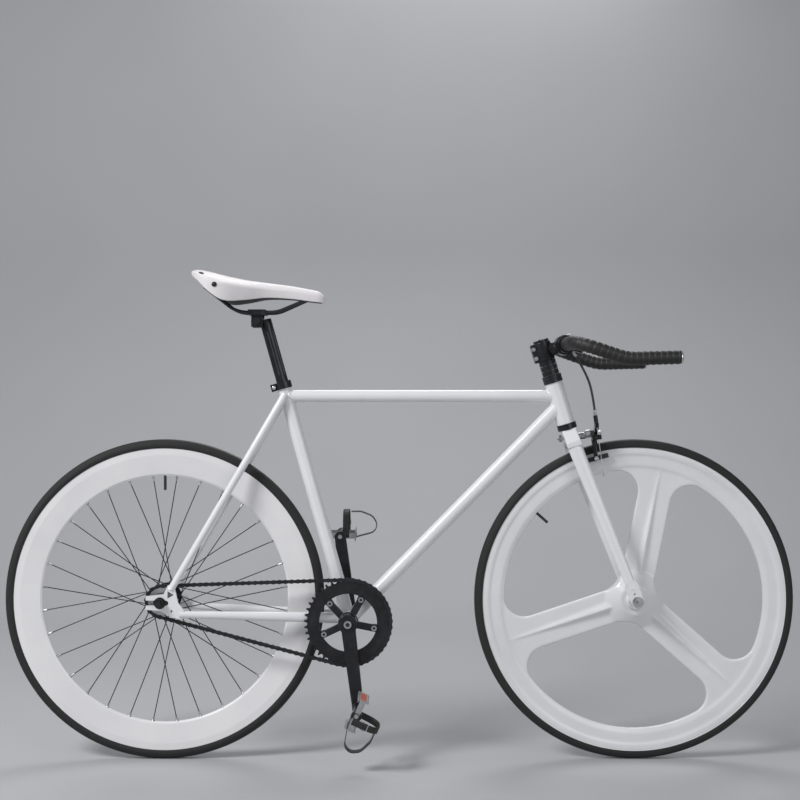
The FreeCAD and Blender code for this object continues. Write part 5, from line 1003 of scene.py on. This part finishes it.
def band_recipe():
    """A flat band with rounded edges along a path, its width lying along the given direction."""
    tree, given = new_recipe("flat_band", Width="Float", Thickness="Float", Bend="Float", Step="Float",
                             Across="Vector")
    path = given["Geometry"].then("MeshToCurve")
    bent = path.then("FilletCurve", {"mode": "POLY"}, Count=9, Radius=given["Bend"], Limit_Radius=True)
    even = bent.then("ResampleCurve", {"mode": "LENGTH"}, Length=given["Step"])
    facing = even.then("SetCurveNormal", {"mode": "FREE"}, Normal=given["Across"])
    section = even.make("GeometryNodeCurvePrimitiveQuadrilateral", Width=given["Width"],
                        Height=given["Thickness"])
    edge_share = 0.4
    soft = section.then("FilletCurve", {"mode": "POLY"}, Count=3, Radius=given["Thickness"] * edge_share,
                        Limit_Radius=True)
    flat = facing.then("CurveToMesh", Profile_Curve=soft, Fill_Caps=True)
    end_recipe(tree, flat, dark_steel)
    return tree


strap_finish = strap_leather()
amber = reflector_plastic()
toothed_plate = plate_recipe()
flat_band = band_recipe()


def band(name, route, across, finish, body, slot, **sizes):
    """A flat band bent along a route."""
    mesh = grow(flat_band, path_mesh(name, route), Across=across, Step=0.0015, **sizes)
    return place_mesh(name, mesh, finish, body, slot, 50)


def block(spot, centre, size, bevel):
    """Points and faces of a box with a chamfer all round its ends, in a pedal's own directions."""
    points = []
    half = [value / 2 for value in size]
    layers = ((-half[1], bevel), (-half[1] + bevel, 0.0), (half[1] - bevel, 0.0), (half[1], bevel))
    for y, drawn in layers:
        for a, h in ((-1, -1), (1, -1), (1, 1), (-1, 1)):
            points.append(spot(centre[0] + a * (half[0] - drawn), centre[1] + y,
                               centre[2] + h * (half[2] - drawn)))
    return points, ring_faces(len(layers), 4)


def pedal(name, eye, angle, side):
    """One pedal: a runs to its front, y away from the crank and h to its sole side."""
    turn = radians(angle)
    ahead = Vector((cos(turn), 0, sin(turn)))
    up = Vector((-sin(turn), 0, cos(turn)))
    out = Vector((0, side, 0))

    def spot(a, y, h):
        return Vector(eye) + ahead * a + out * y + up * h

    body = "pedal_" + name
    middle, plate_set, strap_set, around = 0.115, 0.0316, 0.012, 40
    profile = ((0.0735, 0.0068), (0.0735, 0.0098), (0.0752, 0.0110), (0.0840, 0.0110), (0.0870, 0.0086),
               (0.0960, 0.0078), (0.1340, 0.0078), (0.1420, 0.0092), (0.1450, 0.0110), (0.1552, 0.0110),
               (0.1564, 0.0098), (0.1568, 0.0030))
    barrel = [spot(radius * cosine, y, radius * sine)
              for y, radius in profile for cosine, sine in circle(around)]
    core = add_mesh("pedal_core_" + name, barrel, ring_faces(len(profile), around), alloy, body,
                    "black_plastic")
    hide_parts("pedal_body_" + name)
    bars = [block(spot, (0.0, y, 0.0), (0.064, 0.0044, 0.0116), 0.0008) for y in (0.0756, 0.1544)]
    add_mesh("pedal_bars_" + name, *join(*bars), bright_steel, body, "steel")
    for part, a in (("front", plate_set), ("rear", -plate_set)):
        mesh = grow(toothed_plate, bpy.data.meshes.new("plate_carrier"), Plate=(0.0022, 0.0826, 0.0160),
                    Teeth=14, Pitch=0.006, Tooth_Radius=0.0036, Tooth_Height=0.0028, Tooth_Share=0.43,
                    Row_Start=(0.0, -0.039, 0.0094), Row_Turn=(pi, 0.0, 0.0))
        for vertex in mesh.vertices:
            vertex.co = spot(a + vertex.co.x, middle + vertex.co.y, vertex.co.z)
        if side > 0:
            mesh.flip_normals()
        place_mesh("pedal_plate_%s_%s" % (part, name), mesh, bright_steel, body, "steel", 20)
    lens = block(spot, (-0.0326, middle, 0.0), (0.0008, 0.058, 0.0120), 0.0002)
    add_mesh("pedal_reflector_" + name, *lens, amber, body, "black_plastic")
    clip_line = ((0.0340, -0.006), (0.0350, -0.0048), (0.0496, -0.0010), (0.0720, 0.0050), (0.0800, 0.0210),
                 (0.0688, 0.0400), (0.0440, 0.0500), (0.0224, 0.0500))
    clip = band("toe_clip_band_" + name, [spot(a, middle, h) for a, h in clip_line], left, dark_steel, body,
                "dark_steel", Width=0.025, Thickness=0.0016, Bend=0.020)
    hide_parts("toe_clip_" + name)
    bolts = [block(spot, (0.0335, y, 0.0), (0.0012, 0.005, 0.005), 0.0004) for y in (0.106, 0.124)]
    add_mesh("clip_bolts_" + name, *join(*bolts), bright_steel, body, "steel")
    arch = ((0.0722, -0.0035), (0.0718, 0.0180), (0.0745, 0.0400), (0.0900, 0.0525), (0.1150, 0.0535),
            (0.1400, 0.0525), (0.1555, 0.0400), (0.1582, 0.0180), (0.1578, -0.0035))
    band("toe_strap_" + name, [spot(strap_set, y, h) for y, h in arch], ahead, strap_finish, body,
         "dark_steel", Width=0.0136, Thickness=0.0019, Bend=0.022)
    buckle_y, buckle_rise, half = 0.1572, 0.022, 0.0075
    buckle = ((-0.0078, -half), (0.0078, -half), (0.0078, half), (-0.0078, half), (-0.0078, -0.0065))
    band("strap_buckle_" + name, [spot(strap_set + a, buckle_y, buckle_rise + h) for a, h in buckle], left,
         polished, body, "chrome", Width=0.0026, Thickness=0.0016, Bend=0.002)


pedal("right", (-0.085693, 0, 0.123267), 245, -1)
pedal("left", (-0.127129, 0, 0.460733), 0, 1)


# Studio: one sheet of grey paper that curves from the floor up into the wall, three large soft lamps, and
# the camera on the right side of the bike. Seen from behind, the paper is clear.

paper_paint, paper_shader, paper_place = new_finish("studio_floor", Roughness=0.85)
draw(paper_shader, paper_place.noise(1.3, 2.0).ramp((0.3, (0.42, 0.425, 0.435)), (0.7, (0.44, 0.445, 0.455))))
behind = paper_place.make("ShaderNodeNewGeometry", out="Backfacing")
clear = paper_place.make("ShaderNodeBsdfTransparent")
one_way = clear.make("ShaderNodeMixShader", _0=behind, _1=Shade(paper_shader.outputs["BSDF"]), _2=clear)
one_way.to(paper_paint.node_tree.nodes["Material Output"].inputs["Surface"])


def backdrop():
    """One sheet of paper: the floor, a long curve and the wall behind."""
    reach, bend_start, bend_radius, bend_steps, wall_height = 9.0, 1.6, 1.4, 16, 6.0
    profile = [(-reach, 0.0), (bend_start, 0.0)]
    for step in range(1, bend_steps + 1):
        angle = pi / 2 * step / bend_steps
        profile.append((bend_start + bend_radius * sin(angle), bend_radius - bend_radius * cos(angle)))
    profile.append((bend_start + bend_radius, wall_height))
    points = [(x, y, z) for x in (-reach, reach) for y, z in profile]
    count = len(profile)
    faces = [(step, count + step, count + step + 1, step + 1) for step in range(count - 1)]
    mesh = bpy.data.meshes.new("studio_paper")
    mesh.from_pydata(points, [], faces)
    mesh.materials.append(paper_paint)
    mesh.shade_smooth()
    paper = stand("studio_paper", mesh)


backdrop()


def soft_lamp(name, place, target, size, power):
    """A round area lamp aimed at a target."""
    lamp = bpy.data.lights.new(name, "AREA")
    lamp.shape = "DISK"
    lamp.size = size
    lamp.energy = power
    item = stand(name, lamp)
    item.location = place
    item.rotation_euler = (Vector(target) - Vector(place)).to_track_quat("-Z", "Y").to_euler()


soft_lamp("key_lamp", (-2.6, -1.9, 3.0), (0, 0, 0.5), size=1.3, power=118)
soft_lamp("fill_lamp", (2.2, -3.0, 1.5), (0, 0, 0.5), size=2.4, power=26)
soft_lamp("back_lamp", (0.4, 2.4, 3.4), (0, 0, 0.4), size=2.0, power=45)
world = bpy.data.worlds.new("studio_air")
world.use_nodes = True
air = world.node_tree.nodes["Background"]
air.inputs["Color"].default_value = (0.9, 0.93, 1.0, 1.0)
air.inputs["Strength"].default_value = 0.33
scene = bpy.context.scene
scene.world = world
scene.view_settings.view_transform = "Standard"
lens = bpy.data.cameras.new("photo_camera")
lens.sensor_width = 36.0
lens.lens = 61.9
camera = stand("photo_camera", lens)
camera.location = (0.0014, -2.9, 0.7546)
camera.rotation_euler = (pi / 2, 0, 0)
scene.camera = camera

bpy.context.view_layer.update()
